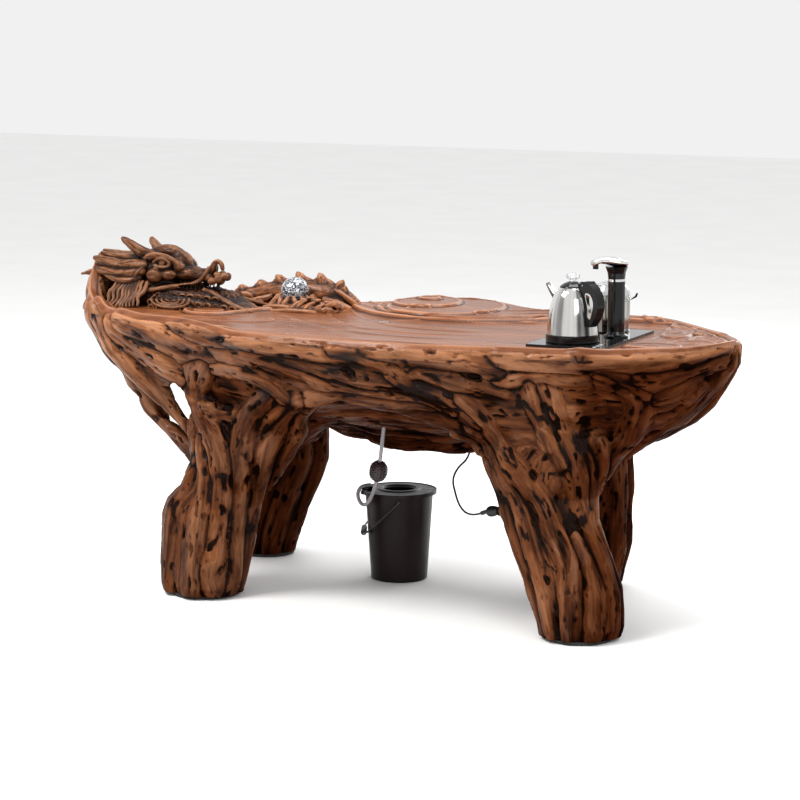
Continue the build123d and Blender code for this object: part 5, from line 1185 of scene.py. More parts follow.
# hollows, slits and knotholes, cut after the runs: rows of x, y, z, radius
HOLLOWS = [
    # under the left overhang, between the outer root and the trunk
    [(-640, -175, 560, 12), (-610, -190, 520, 20), (-585, -170, 478, 22), (-560, -120, 440, 20)],
    [(-700, -120, 470, 16), (-650, -90, 440, 30), (-610, -60, 410, 34), (-580, -40, 360, 30)],
    [(-576, -250, 547, 9), (-627, -160, 531, 12), (-717, 0, 503, 13), (-802, 150, 477, 13)],
    [(-565, -250, 533, 11), (-616, -160, 517, 15), (-706, 0, 489, 16), (-791, 150, 462, 16)],
    [(-545, -250, 504, 11), (-595, -160, 488, 15), (-685, 0, 459, 16), (-770, 150, 432, 16)],
    [(-555, -250, 520, 13), (-606, -160, 503, 17), (-696, 0, 475, 18), (-780, 150, 448, 18)],
    [(-535, -250, 489, 9), (-585, -160, 473, 13), (-675, 0, 443, 15), (-760, 150, 416, 15)],
    # along the front apron
    [(-8, -452, 664, 5), (4, -440, 656, 10), (20, -432, 640, 9), (34, -432, 628, 4)],
    [(48, -446, 650, 6), (60, -436, 640, 8), (66, -430, 630, 4)],
    [(228, -424, 622, 5), (250, -410, 616, 9), (268, -400, 606, 5)],
    [(312, -402, 660, 4), (330, -392, 650, 8), (352, -384, 648, 4)],
    [(-260, -414, 650, 4), (-225, -412, 640, 8), (-180, -414, 630, 5)],
    [(-370, -368, 610, 5), (-340, -364, 596, 10), (-300, -366, 590, 6), (-270, -372, 588, 3)],
    [(-440, -330, 600, 5), (-425, -322, 570, 10), (-400, -300, 540, 10), (-370, -290, 520, 5)],
    [(100, -424, 600, 4), (116, -410, 596, 9), (134, -412, 590, 4)],
    # front right leg
    [(456, -334, 470, 5), (462, -318, 455, 12), (466, -320, 436, 6)],
    [(440, -330, 352, 4), (446, -318, 330, 11), (462, -318, 300, 13), (476, -322, 268, 8), (486, -326, 246, 3)],
    [(520, -326, 300, 4), (530, -316, 270, 10), (540, -318, 240, 12), (552, -326, 204, 8), (560, -334, 176, 3)],
    [(452, -322, 412, 4), (458, -312, 404, 9), (462, -316, 392, 4)],
    [(596, -276, 372, 4), (592, -262, 340, 10), (588, -256, 300, 8), (592, -262, 270, 4)],
    [(410, -318, 250, 3), (420, -306, 220, 8), (434, -312, 180, 8), (446, -322, 150, 3)],
    [(584, -352, 130, 3), (588, -360, 90, 9), (592, -364, 45, 15), (596, -366, 0, 22)],
    [(532, -356, 70, 4), (540, -352, 40, 9), (546, -356, 4, 10)],
    [(430, -334, 430, 3), (400, -322, 420, 7), (380, -330, 440, 3)],
    [(506, -352, 590, 4), (500, -344, 560, 9), (508, -332, 530, 10), (528, -322, 500, 5)],
    [(640, -330, 610, 4), (650, -308, 580, 12), (650, -280, 545, 12), (634, -258, 500, 8), (622, -240, 470, 4)],
    # right apron
    [(668, -340, 640, 4), (690, -318, 628, 10), (716, -304, 622, 5)],
    [(760, -262, 640, 4), (782, -244, 640, 10), (806, -236, 640, 10), (836, -226, 660, 4)],
    [(700, -250, 560, 4), (740, -222, 556, 12), (776, -204, 570, 10), (806, -194, 600, 4)],
    [(840, -190, 650, 4), (862, -170, 650, 10), (884, -140, 668, 5)],
    [(690, -190, 500, 5), (712, -176, 510, 10), (744, -170, 530, 5)],
    # front left leg
    [(-556, -214, 440, 4), (-540, -212, 424, 11), (-524, -216, 410, 5)],
    [(-478, -276, 470, 4), (-470, -282, 455, 9), (-462, -284, 440, 4)],
    [(-600, -238, 246, 4), (-596, -232, 224, 9), (-590, -246, 196, 4)],
    [(-506, -286, 140, 3), (-508, -284, 110, 8), (-512, -292, 80, 4)],
    [(-470, -262, 330, 3), (-462, -256, 300, 8), (-460, -262, 250, 9), (-462, -272, 190, 6), (-464, -280, 150, 3)],
    [(-400, -260, 330, 3), (-406, -246, 280, 8), (-414, -242, 220, 8), (-424, -250, 150, 3)],
    [(-540, -242, 300, 3), (-534, -236, 260, 9), (-540, -246, 200, 9), (-548, -262, 130, 7), (-552, -280, 60, 6), (-552, -290, 4, 9)],
    [(-330, -254, 440, 3), (-344, -236, 380, 8), (-366, -214, 310, 8), (-384, -206, 240, 4)],
    [(-440, -330, 40, 4), (-458, -318, 20, 9), (-468, -318, 4, 10)],
    [(-520, -250, 520, 5), (-540, -220, 490, 12), (-560, -196, 470, 10), (-590, -180, 470, 5)],
    # rear legs and back
    [(-560, 384, 300, 3), (-590, 376, 240, 9), (-620, 372, 170, 9), (-634, 376, 110, 4)],
    [(-480, 330, 350, 3), (-490, 336, 290, 10), (-530, 346, 220, 9), (-566, 360, 150, 4)],
    [(360, 372, 330, 3), (378, 366, 270, 9), (376, 372, 200, 9), (366, 384, 120, 4)],
    [(470, 330, 380, 3), (462, 330, 310, 9), (452, 346, 240, 9), (440, 362, 170, 4)],
    [(-30, 430, 620, 3), (-40, 424, 590, 12), (-60, 408, 560, 12), (-80, 384, 530, 4)],
    [(640, 250, 640, 3), (660, 226, 630, 12), (700, 190, 630, 12), (740, 150, 640, 4)],
    [(-700, 214, 610, 3), (-670, 206, 590, 12), (-610, 206, 570, 12), (-560, 214, 560, 4)],
    [(-360, 150, 420, 5), (-350, 190, 360, 12), (-400, 230, 280, 12), (-460, 250, 200, 6)],
    [(300, 210, 420, 4), (304, 216, 360, 9), (300, 226, 280, 9), (296, 240, 200, 4)],
]
CUTS = [Strand(p, 7.0, 9.0, cut=True) for p in HOLLOWS]
for st in CUTS:
    wood.strand(st)
# rings round the burl's eye and the apron's knot
for c, d, r0 in (((372, -322, 390), (0.25, -0.94, 0.05), 17.0), ((150, -448, 652), (0.2, -0.97, 0.1), 13.0), ((-470, -298, 474), (0.1, -0.98, 0.1), 15.0)):
    d = np.array(d) / np.linalg.norm(d)
    e1 = np.cross(d, (0, 0, 1.0))
    e1 /= np.linalg.norm(e1)
    e2 = np.cross(d, e1)
    t = np.linspace(0, 2 * math.pi, 19)
    ring = [(*(np.array(c) + d * 4 + r0 * (math.cos(a) * e1 + 1.15 * math.sin(a) * e2)), 4.2) for a in t]
    wood.strand(Strand(ring, 4.0, 6.0, cut=True))
    wood.blob(np.array(c) + d * 6, (5, 7, 6), 4.0, cut=True)


def keep_clear():
    """Room for what moves or stands beside the wood, and the feet's level underside."""
    F, X, Y, Z = wood.F, wood.xs[:, None, None], wood.ys[None, :, None], wood.zs[None, None, :]
    i0, i1, sl = wood.block((420, -330, 640), (660, 50, 760))
    x, y, z = X[sl[0]], Y[:, sl[1]], Z[:, :, sl[2]]
    seat = np.maximum(np.maximum(np.abs(x - 538) - 91, np.abs(y + 141) - 172), 664 - z)
    F[sl] = np.maximum(F[sl], -seat)
    # drain and its stub, from the belly down
    i0, i1, sl = wood.block((-110, -95, 360), (-25, -5, 540))
    x, y, z = X[sl[0]], Y[:, sl[1]], Z[:, :, sl[2]]
    F[sl] = smax(F[sl], -(np.sqrt((x + 67.9) ** 2 + (y + 50) ** 2) - 19.0 - 0 * z), 6.0)
    i0, i1, sl = wood.block((-110, -95, 470), (-25, -5, 760))
    x, y, z = X[sl[0]], Y[:, sl[1]], Z[:, :, sl[2]]
    F[sl] = np.maximum(F[sl], -(np.sqrt((x + 67.9) ** 2 + (y + 50) ** 2) - 16.5 - 0 * z))
    # cord's way out of the belly
    i0, i1, sl = wood.block((70, 60, 330), (150, 140, 420))
    x, y, z = X[sl[0]], Y[:, sl[1]], Z[:, :, sl[2]]
    F[sl] = smax(F[sl], -(np.sqrt((x - 109.6) ** 2 + (y - 100) ** 2) - 9.0 - 0 * z), 5.0)
    # nothing past the tabletop's own edge
    i0, i1, sl = wood.block((wood.lo[0], wood.lo[1], 500), (wood.xs[-1], wood.ys[-1], 711))
    x, y, z = X[sl[0]], Y[:, sl[1]], Z[:, :, sl[2]]
    edge = flat_at(PLAN_D, (x + 0 * y)[..., 0], (y + 0 * x)[..., 0]).astype(np.float32)[..., None] + 5.0
    F[sl] = smax(F[sl], edge + 0 * z, 6.0)
    i0, i1, sl = wood.block((690, wood.lo[1], 480), (wood.xs[-1], wood.ys[-1], 740))
    x, y, z = X[sl[0]], Y[:, sl[1]], Z[:, :, sl[2]]
    edge = flat_at(PLAN_D, (x + 0 * y)[..., 0], (y + 0 * x)[..., 0]).astype(np.float32)[..., None]
    F[sl] = smax(F[sl], edge + (16.0 * np.clip((x - 740.0) / 170.0, 0, 1)).astype(np.float32) + 0 * z, 5.0)
    # flat soles
    F[:] = np.maximum(F, 7.0 - Z)
    # the field clipped back to its band
    np.clip(F, -wood.band, wood.band, out=F)


keep_clear()


def flat_laplacian(A, n=3):
    B = A
    for _ in range(n):
        C = np.pad(B, 1, mode="edge")
        B = (C[:-2, 1:-1] + C[2:, 1:-1] + C[1:-1, :-2] + C[1:-1, 2:] + 2 * C[1:-1, 1:-1]) / 6.0
    return B - A


RELIEF_LAP = flat_laplacian(RELIEF)


def carcass_mesh():
    P, q = wood.mesh()
    q = outward(P, q)
    P, q = keep_main(P, q)
    P = relax(P, q, 1, 0.35)
    z = P[:, 2]
    # fibre coordinates where no run is near: along the rim on the bowl, down the legs
    d_edge = flat_at(PLAN_D, P[:, 0], P[:, 1])
    s_edge = flat_at(PLAN_S, P[:, 0], P[:, 1])
    fall = np.stack([d_edge * 0.8, z * 1.0, s_edge], 1)
    low = z < 470
    best = np.full(len(P), 9.0)
    for n, (key, T) in enumerate(LEGS.items()):
        cx = np.interp(z, T[:, 0], T[:, 1])
        cy = np.interp(z, T[:, 0], T[:, 2])
        rx = np.interp(z, T[:, 0], T[:, 3])
        ry = np.interp(z, T[:, 0], T[:, 4])
        qq = np.sqrt(((P[:, 0] - cx) / rx) ** 2 + ((P[:, 1] - cy) / ry) ** 2)
        m = low & (qq < best) & (qq < 1.6)
        best[m] = qq[m]
        fall[m] = np.stack([P[m, 0] - cx[m], P[m, 1] - cy[m], z[m] + 517.0 * n], 1)
    belly = low & (best > 8)
    fall[belly] = np.stack([P[belly, 1], z[belly], P[belly, 0]], 1)
    G, d1, d2 = grain_frames(P, STRANDS, fall)
    nrm = normals_of(P, q)
    upper = np.clip((z - 706.0) / 12.0, 0, 1) * np.clip(nrm[:, 2] * 2.4 - 0.8, 0, 1) * np.clip((-d_edge - 2.0) / 8.0, 0, 1)
    onto = upper > 0.35
    G[onto] = np.stack([P[onto, 1] + 14.0 * np.sin(P[onto, 0] / 150.0), z[onto], P[onto, 0]], 1)
    free = 1.0 - upper
    # seams between neighbouring runs, long grooves and finer ones, all along the fibre
    seam = np.exp(-np.clip(d2 - d1, 0, 60) / 5.0) * np.clip(1.2 - d1 / 22.0, 0, 1)
    warp = 9.0 * fbm(P / 70.0, 2, 5)[:, None]
    g = G + warp
    r1 = ridged(g / np.array([30.0, 30.0, 210.0]), 2, 3)
    r2 = ridged(g / np.array([13.0, 13.0, 120.0]), 2, 9)
    lumps = fbm(P / np.array([95.0, 95.0, 95.0]), 2, 21)
    pits = np.clip(fbm(g / np.array([17.0, 17.0, 46.0]), 2, 40) - 0.345, 0, 1)
    dots = np.clip(fbm(g / np.array([8.5, 8.5, 30.0]), 2, 63) - 0.42, 0, 1)
    disp = 2.0 * r1 + 1.0 * r2 + 4.5 * lumps - 7.0 * seam - 24.0 * pits - 13.0 * dots
    disp *= free
    # keep the seat, the drain and the soles as cut
    near = (np.abs(P[:, 0] - 538) < 122) & (np.abs(P[:, 1] + 141) < 202) & (z > 655) & (z < 719)
    near |= (np.hypot(P[:, 0] + 67.9, P[:, 1] + 50) < 24) | (z < 9)
    disp[near] = 0
    P = P + nrm * disp[:, None]
    # the carved tea field
    rel = flat_at(RELIEF, P[:, 0], P[:, 1]) * np.clip((z - 714.0) / 5.0, 0, 1) * np.clip(nrm[:, 2] * 3.0 - 1.4, 0, 1)
    P[:, 2] = np.maximum(P[:, 2] + rel, 7.0)
    lap = flat_at(RELIEF_LAP, P[:, 0], P[:, 1])
    # hollows from the blurred field, plus the grooves themselves
    A = wood.blurred(26.0)
    B = wood.blurred(9.0)
    w2 = Field.__new__(Field)
    w2.lo, w2.h = wood.lo, wood.h * 2
    conc = w2.at(P, A)
    conf = w2.at(P, B)
    cav = 0.52 + 0.030 * conc * 0.62 + 0.075 * conf + 0.075 * disp / 2.6 - 0.05 - 0.9 * pits - 0.8 * dots - 0.22 * seam
    cav += 0.20 * np.clip(r2, -1, 1) * 0.5
    # painted highlight: paler along the upper rim, above z 676
    cav += 0.10 * np.clip((z - 676.0) / 20.0, 0, 1)
    # painted shade: darker within 60 mm of the floor
    low_dark = np.clip((60.0 - P[:, 2]) / 60.0, 0, 1)
    cav = np.clip(cav - 0.5 * low_dark ** 1.5, 0, 1)
    # on the tea field cav follows the relief: pale on its ridges as a painted highlight, dark in its hollows
    cav = cav * (1 - upper) + upper * np.clip(0.54 - 0.26 * lap, 0, 1)
    print("carcass", len(P), "points; cav mean", float(cav.mean()), "conc", float(conc.mean()), "conf", float(conf.mean()))
    obj = quad_object("root_carcass", P, q)
    point_attr(obj.data, "grain", G / 1000.0, "FLOAT_VECTOR")
    point_attr(obj.data, "cav", cav)
    point_attr(obj.data, "top", np.clip(upper * 1.6, 0, 1))
    # painted shade, with some random mottling: darker the further down and under, toward the right end, on the rear
    # legs, round the belly and in broad hollows, lighter at the upper left end
    under = np.clip(-nrm[:, 2] * 0.9 + 0.15, 0, 1)
    painted_shade = 0.24 * np.clip((712.0 - z) / 60.0, 0, 1) + 0.14 * np.clip((600.0 - z) / 80.0, 0, 1) + 0.48 * under + 0.52 * np.clip((P[:, 0] - 540.0) / 150.0, 0, 1)
    painted_shade += 0.30 * np.clip(0.45 - 0.03 * conc, 0, 1) - 0.34 * np.clip((-P[:, 0] - 520.0) / 260.0, 0, 1) * np.clip((z - 470.0) / 120.0, 0, 1)
    painted_shade += 0.52 * np.clip((P[:, 1] - 60.0) / 160.0, 0, 1) * np.clip((560.0 - z) / 120.0, 0, 1)
    painted_shade += 0.60 * np.clip((np.abs(z - 430.0) < 60) * (np.hypot((P[:, 0] + 10) / 330.0, P[:, 1] / 260.0) < 1.0), 0, 1)
    painted_shade += 0.18 * fbm(P / 160.0, 2, 91)
    point_attr(obj.data, "painted_shade", np.clip(painted_shade, 0, 1) * np.clip((712.0 - z) / 14.0, 0.0, 1.0))
    obj.data.materials.append(M["root_wood"])
    obj.data.materials.append(M["top_wood"])
    # shaded copies of the wood, with duller varnish, go where the painted shade is deepest
    obj.data.materials.append(M["side_wood"])
    obj.data.materials.append(M["under_wood"])
    deep = np.clip(painted_shade, 0, 1)[q].mean(1)
    slot = np.where(deep > 0.72, 3, np.where(deep > 0.46, 2, 0))
    slot[upper[q].mean(1) > 0.5] = 1
    obj.data.polygons.foreach_set("material_index", slot.astype(np.int32))
    return obj


root_obj = carcass_mesh()
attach(root_obj, "root")
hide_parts("front_apron", "rear_apron", "left_end_apron", "right_end_apron", "leg_front_right", "leg_front_left",
            "leg_rear_left", "leg_rear_right", "belly_panel", "root_strand", "tray_top")


# ------------------------------------------------------------------ carved heads on the tea field
def half_at(f):
    w = Field.__new__(Field)
    w.lo, w.h = f.lo, f.h * 2
    return w


def carved(name, f, strands, groove=1.1, lump=0.8, small=6.0, wide=12.0, gain=1.0, tone=0.0, floor_z=None, mat="carved_wood", deep=0.0):
    """Meshes a carving's field, scores it along its runs and notes its hollows."""
    P, q = f.mesh()
    q = outward(P, q)
    P, q = keep_main(P, q, 0.05)
    P = relax(P, q, 1, 0.3)
    fall = np.stack([P[:, 1], P[:, 2] * 1.4, P[:, 0]], 1)
    G, d1, d2 = grain_frames(P, strands, fall, reach=5.0)
    nrm = normals_of(P, q)
    on = np.clip(1.0 - d1 / 4.0, 0, 1)
    r1 = ridged(G / np.array([6.5, 6.5, 90.0]), 2, 3)
    seam = np.exp(-np.clip(d2 - d1, 0, 30) / 1.8) * on
    disp = groove * r1 * (0.25 + 0.75 * on) + lump * fbm(P / 13.0, 2, 8) - 1.4 * seam
    low = P[:, 2].min() + 2.5
    disp[P[:, 2] < low] = 0
    P = P + nrm * disp[:, None]
    if floor_z is not None:
        P[:, 2] = np.maximum(P[:, 2], floor_z)
    h2 = half_at(f)
    # deep shifts the tone below z 778; the dragon's negative value is painted shade under its head
    cav = 0.50 + tone + deep * np.clip((778.0 - P[:, 2]) / 24.0, -0.15, 1) + gain * (0.055 * h2.at(P, f.blurred(wide)) + 0.11 * h2.at(P, f.blurred(small))) + 0.10 * disp / max(groove, 0.1) - 0.25 * seam
    obj = quad_object(name, P, q)
    point_attr(obj.data, "grain", G * 3.2 / 1000.0, "FLOAT_VECTOR")
    point_attr(obj.data, "cav", np.clip(cav, 0, 1))
    point_attr(obj.data, "top", np.zeros(len(P)))
    obj.data.materials.append(M[mat])
    print(name, len(P), "points, cav", round(float(cav.mean()), 3))
    return obj


def mirror(pts, mid=35.0, shift=0.0):
    return [(x + shift, 2 * mid - y, z, r) for x, y, z, r in pts]


def rotz(deg, tilt=0.0):
    a, b = math.radians(deg), math.radians(tilt)
    R = np.array([[math.cos(a), -math.sin(a), 0], [math.sin(a), math.cos(a), 0], [0, 0, 1.0]])
    T = np.array([[math.cos(b), 0, math.sin(b)], [0, 1, 0], [-math.sin(b), 0, math.cos(b)]])
    return R @ T


def dragon():
    f = Field((-1024.0, -118.0, 712.0), (-428.0, 200.0, 906.0), 1.7, 24.0)
    S = []

    def blob(c, r, k, cut=False):
        f.blob((back(c[0]), c[1], c[2]), r, k, cut=cut)

    def back(x):
        return x - 22.0 * min(1.0, max(0.0, (x + 840.0) / 70.0))

    def run(pts, k=5.0, both=False, shift=0.0, step=5.0, cut=False, keep=True):
        pts = [(back(x), y, z, r) for x, y, z, r in pts]
        for p in ([pts, mirror(pts, shift=shift)] if both else [pts]):
            st = Strand(p, k, step, cut)
            f.strand(st)
            if keep and not cut:
                S.append(st)

    # neck and the mass under the head
    blob((-790, 45, 752), (112, 86, 52), 20)
    blob((-650, 36, 738), (150, 82, 30), 20)
    blob((-530, 6, 724), (80, 50, 18), 14)
    # skull, brow, cheeks and jaws
    blob((-748, 35, 812), (62, 54, 42), 16)
    blob((-692, 35, 832), (34, 36, 26), 12)
    blob((-676, 35, 806), (54, 42, 20), 12)
    run([(-800, 36, 832, 16), (-770, 36, 850, 19), (-740, 36, 860, 20), (-712, 36, 861, 19), (-688, 35, 853, 16), (-670, 34, 841, 12), (-662, 33, 828, 9)], 9)
    run([(-790, 2, 838, 9), (-762, -10, 850, 9), (-735, -17, 856, 8.5), (-708, -16, 853, 8), (-688, -10, 844, 7), (-676, -4, 832, 6)], 5, True)
    run([(-742, -19, 838, 4), (-728, -24, 847, 4.5), (-712, -24, 849, 4.5), (-700, -20, 843, 4), (-695, -17, 834, 4), (-704, -19, 827, 4), (-720, -22, 826, 4), (-736, -22, 830, 4)], 3, True)
    for side in (0, 1):
        y = (lambda v: v) if side == 0 else (lambda v: 70 - v)
        blob((-716, y(-17), 838), (11, 9, 9), 2.5)
        blob((-738, y(-22), 803), (23, 17, 21), 7)
        blob((-700, y(-14), 806), (24, 14, 13), 6)
        blob((-676, y(2), 826), (17, 15, 15), 6)
        blob((-655, y(8), 812), (15, 13, 11), 5)
        for n in range(14):
            a = n * 2.4
            r = 3.2 + 10.5 * math.sqrt((n + 0.5) / 14)
            blob((-676 + r * math.cos(a), y(-9 + 0.28 * r), 828 + r * 0.9 * math.sin(a)), (3.1, 3.1, 3.1), 1.8)
        for n in range(5):
            blob((-770 - 9 * n, y(-26 + 2 * n), 812 - 5 * n), (7.5, 6, 9), 3)
    # snout curling up at its tip, with the ruffled nose
    run([(-690, 35, 806, 28), (-655, 35, 800, 26), (-625, 34, 799, 22), (-602, 32, 808, 16), (-590, 31, 822, 11), (-583, 31, 836, 8), (-573, 31, 842, 6.5), (-563, 31, 836, 6), (-560, 31, 824, 5.5)], 8)
    for n, (dx, dy, dz, r) in enumerate(((-20, -16, 2, 12), (-4, -26, -6, 12), (12, -22, 0, 11.5), (22, -6, 6, 11), (22, 12, 5, 11), (12, 28, 0, 11.5), (-4, 30, -5, 12), (-20, 22, 2, 12),
                                        (4, -12, 10, 10), (6, 16, 10, 10), (6, 2, -6, 13))):
        blob((-574 + dx, 31 + dy, 798 + dz), (r, r, r * 0.92), 2.2)
    # mouth line, with the lip and whisker swept back over the cheek
    run([(-870, -30, 790, 4), (-850, -38, 774, 5), (-826, -42, 764, 5.5), (-796, -43, 760, 6), (-762, -41, 762, 6), (-728, -36, 768, 6), (-694, -28, 774, 6),
         (-660, -14, 778, 6), (-632, -2, 783, 5.5), (-610, 4, 796, 5), (-598, 6, 812, 4.5), (-592, 12, 826, 4)], 3, True)
    run([(-760, 33, 762, 34), (-710, 33, 752, 31), (-660, 33, 750, 26), (-620, 33, 754, 19), (-592, 33, 762, 12), (-578, 33, 772, 7)], 10)
    blob((-640, 35, 777), (62, 62, 6.5), 4, cut=True)
    blob((-612, 35, 778), (30, 60, 9), 3, cut=True)
    for n in range(7):
        for y0 in (10 + 1.4 * n, 60 - 1.4 * n):
            run([(-676 + 12 * n, y0, 784, 3.4), (-675 + 12 * n, y0, 772, 1.2)], 1.5, step=3, keep=False)
            run([(-670 + 12 * n, y0 + (2 if y0 < 35 else -2), 767, 3.2), (-669 + 12 * n, y0, 778, 1.2)], 1.5, step=3, keep=False)
    run([(-700, 35, 768, 12), (-660, 35, 770, 11), (-625, 35, 774, 8), (-606, 35, 782, 5)], 3)
    # horns, swept back
    run([(-740, 18, 842, 16), (-768, 13, 850, 17), (-794, 8, 857, 16.5), (-820, 3, 868, 14.5), (-844, 0, 881, 12), (-860, -1, 890, 9), (-870, 0, 896, 5.5)], 6)
    run([(-780, 2, 862, 7), (-806, -4, 872, 6.5), (-832, -8, 885, 5), (-850, -8, 893, 3.5)], 3)
    run([(-742, -4, 852, 3), (-790, -8, 852, 3.2), (-826, -14, 866, 3), (-850, -12, 881, 2.4)], 2.5, cut=True)
    run([(-744, 58, 838, 17), (-762, 72, 848, 16.5), (-782, 80, 859, 15), (-802, 85, 870, 13), (-818, 88, 880, 10.5), (-826, 90, 887, 7)], 6)
    run([(-790, 98, 858, 7), (-812, 108, 866, 6), (-832, 114, 874, 4), (-842, 116, 879, 2.6)], 3)
    # mane
    locks = [
        [(-776, -14, 828, 14), (-820, -16, 826, 16), (-864, -12, 824, 16), (-905, -6, 828, 15), (-936, -2, 834, 12), (-956, 0, 838, 7)],
        [(-780, -24, 812, 12), (-826, -28, 806, 14), (-872, -24, 804, 14), (-912, -16, 806, 13), (-940, -8, 808, 9), (-956, -4, 812, 5)],
        [(-780, 14, 842, 12), (-826, 12, 840, 14), (-872, 14, 840, 13), (-912, 16, 845, 9), (-944, 16, 852, 5)],
        [(-790, 44, 842, 14), (-836, 48, 842, 15), (-882, 48, 844, 13), (-920, 44, 850, 9), (-950, 40, 856, 5)],
        [(-780, 78, 834, 14), (-826, 86, 830, 15), (-872, 88, 830, 13), (-914, 84, 836, 9), (-944, 76, 844, 5)],
        [(-784, 94, 812, 13), (-830, 104, 806, 14), (-876, 106, 806, 12), (-916, 100, 812, 8), (-944, 92, 820, 4)],
        [(-788, -28, 794, 10), (-824, -36, 786, 11), (-858, -36, 786, 10), (-888, -30, 792, 8), (-912, -22, 800, 5)],
        [(-780, 100, 790, 12), (-826, 112, 782, 13), (-872, 114, 784, 11), (-910, 106, 792, 7), (-934, 98, 800, 4)],
        [(-840, 40, 800, 26), (-880, 40, 790, 24), (-915, 40, 780, 18), (-944, 40, 772, 12)],
        [(-860, 120, 756, 14), (-900, 116, 752, 13), (-930, 104, 760, 9), (-948, 92, 772, 5)],
        [(-800, 130, 752, 14), (-850, 140, 744, 13), (-890, 140, 742, 10), (-920, 130, 752, 5)],
    ]
    for p in locks:
        run(p, 4)
    # ear fins behind the cheek
    run([(-772, -22, 822, 6), (-788, -34, 812, 6), (-800, -36, 798, 5), (-794, -34, 788, 4)], 3, True)
    run([(-778, -26, 800, 5), (-796, -38, 790, 5), (-812, -38, 780, 4)], 3, True)
    # wavy beard
    for n in range(10):
        x0 = -874 + 13.0 * n
        for near in (True, False):
            yy = (lambda v: v) if near else (lambda v: 78 - v)
            pts = []
            for k in range(8):
                t = k / 7.0
                wob = 5.5 * math.sin(1.35 * k + 0.55 * n) * min(1.0, 0.4 + t)
                pts.append((x0 + 5 - 10 * t + wob, yy(-34 - 50 * t ** 0.9), 783 - (63 - 1.5 * abs(n - 4)) * t, 6.0 - 2.2 * t ** 2))
            run(pts, 2.0)
    # spiked fin past the rim
    run([(-930, 34, 800, 17), (-962, 28, 798, 12), (-988, 24, 796, 7.5), (-1012, 20, 791, 2.6)], 5)
    # small waves under the chin, out to the pointed tip
    run([(-596, -2, 766, 8), (-566, -10, 758, 9), (-534, -20, 746, 9), (-498, -28, 734, 8), (-462, -32, 726, 5), (-440, -32, 722, 3)], 5)
    run([(-596, 72, 762, 9), (-566, 70, 750, 10), (-530, 60, 738, 10), (-490, 44, 730, 8), (-450, 20, 724, 5)], 5)
    for n in range(7):
        w = n / 6.0
        for near in (True, False):
            yy = (lambda v: v) if near else (lambda v: 74 - v)
            run([(-716, yy(-26 - 30 * w), 762 - 34 * w, 4), (-650, yy(-24 - 34 * w), 760 - 36 * w, 4.6), (-585, yy(-20 - 34 * w), 752 - 31 * w, 4.8),
                 (-520, yy(-18 - 26 * w), 738 - 18 * w, 4.4), (-462, yy(-22 - 14 * w), 726 - 6 * w, 3.2)], 1.6, step=7, keep=n % 2 == 0)
    def on_wave(x, y):
        return 738 + 30 * math.sqrt(max(0.02, 1 - ((x + 672) / 150.0) ** 2 - ((y - 36) / 82.0) ** 2))

    for cx, cy, sizes in ((-604, 2, (13, 24, 36, 49)), (-672, -6, (10, 19, 29)), (-604, 72, (12, 22, 34, 46)), (-560, 30, (9, 17))):
        for r0 in sizes:
            loop = []
            for n in range(25):
                a = 2 * math.pi * n / 24
                px, py = cx + 1.45 * r0 * math.cos(a), cy + 0.78 * r0 * math.sin(a)
                if ((px + 672) / 150.0) ** 2 + ((py - 36) / 82.0) ** 2 < 0.93 and (px > -655 or abs(py - 36) > 42):
                    loop.append((px + 22.0, py, on_wave(px, py) + 0.8, 3.1))
                elif len(loop) > 2:
                    run(loop, 1.3, step=5, keep=False)
                    loop = []
                else:
                    loop = []
            if len(loop) > 2:
                run(loop, 1.3, step=5, keep=False)
    for row, (zz, yoff, nn, r0) in enumerate(((750, -34, 9, 8.5), (734, -52, 11, 8.5), (723, -66, 12, 7.5))):
        for n in range(nn):
            x = -744 + 24.0 * n + 9 * row
            slope = max(0.0, (x + 600) * 0.13)
            y = yoff + slope * 0.9
            z = zz - slope * 0.62
            if z < 716:
                continue
            t = np.linspace(0.1, 1.0, 9)
            arc = [(x + r0 * 1.25 * math.cos(4.6 * a - 0.6) * (1.25 - 0.75 * a), y - 3 * a, z + r0 * math.sin(4.6 * a - 0.6) * (1.25 - 0.75 * a), 3.4 - 1.2 * a) for a in t]
            run(arc, 1.6, step=4)
            yb = 76 - y
            run([(ax, yb, az, ar) for ax, _, az, ar in arc], 1.6, step=4)
    f.F[:] = np.maximum(f.F, 717.0 - f.zs[None, None, :])
    # crescents lying on the waves
    for r0 in (16, 25, 34):
        for near in (True, False):
            arc = []
            for n in range(13):
                a = math.radians(150 + 19 * n)
                yy = -58 + 0.28 * r0 * math.sin(a) - 4
                arc.append((-668 + 1.7 * r0 * math.cos(a), yy if near else 78 - yy, 744 + 0.55 * r0 * math.sin(a), 3.4))
            run(arc, 1.6, step=4, keep=False)
    obj = carved("dragon_carving", f, S, groove=0.9, lump=0.9, gain=1.35, tone=-0.25, floor_z=717.0, mat="dragon_wood", deep=-0.12)
    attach(obj, "root")
    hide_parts("dragon_head")
    return obj


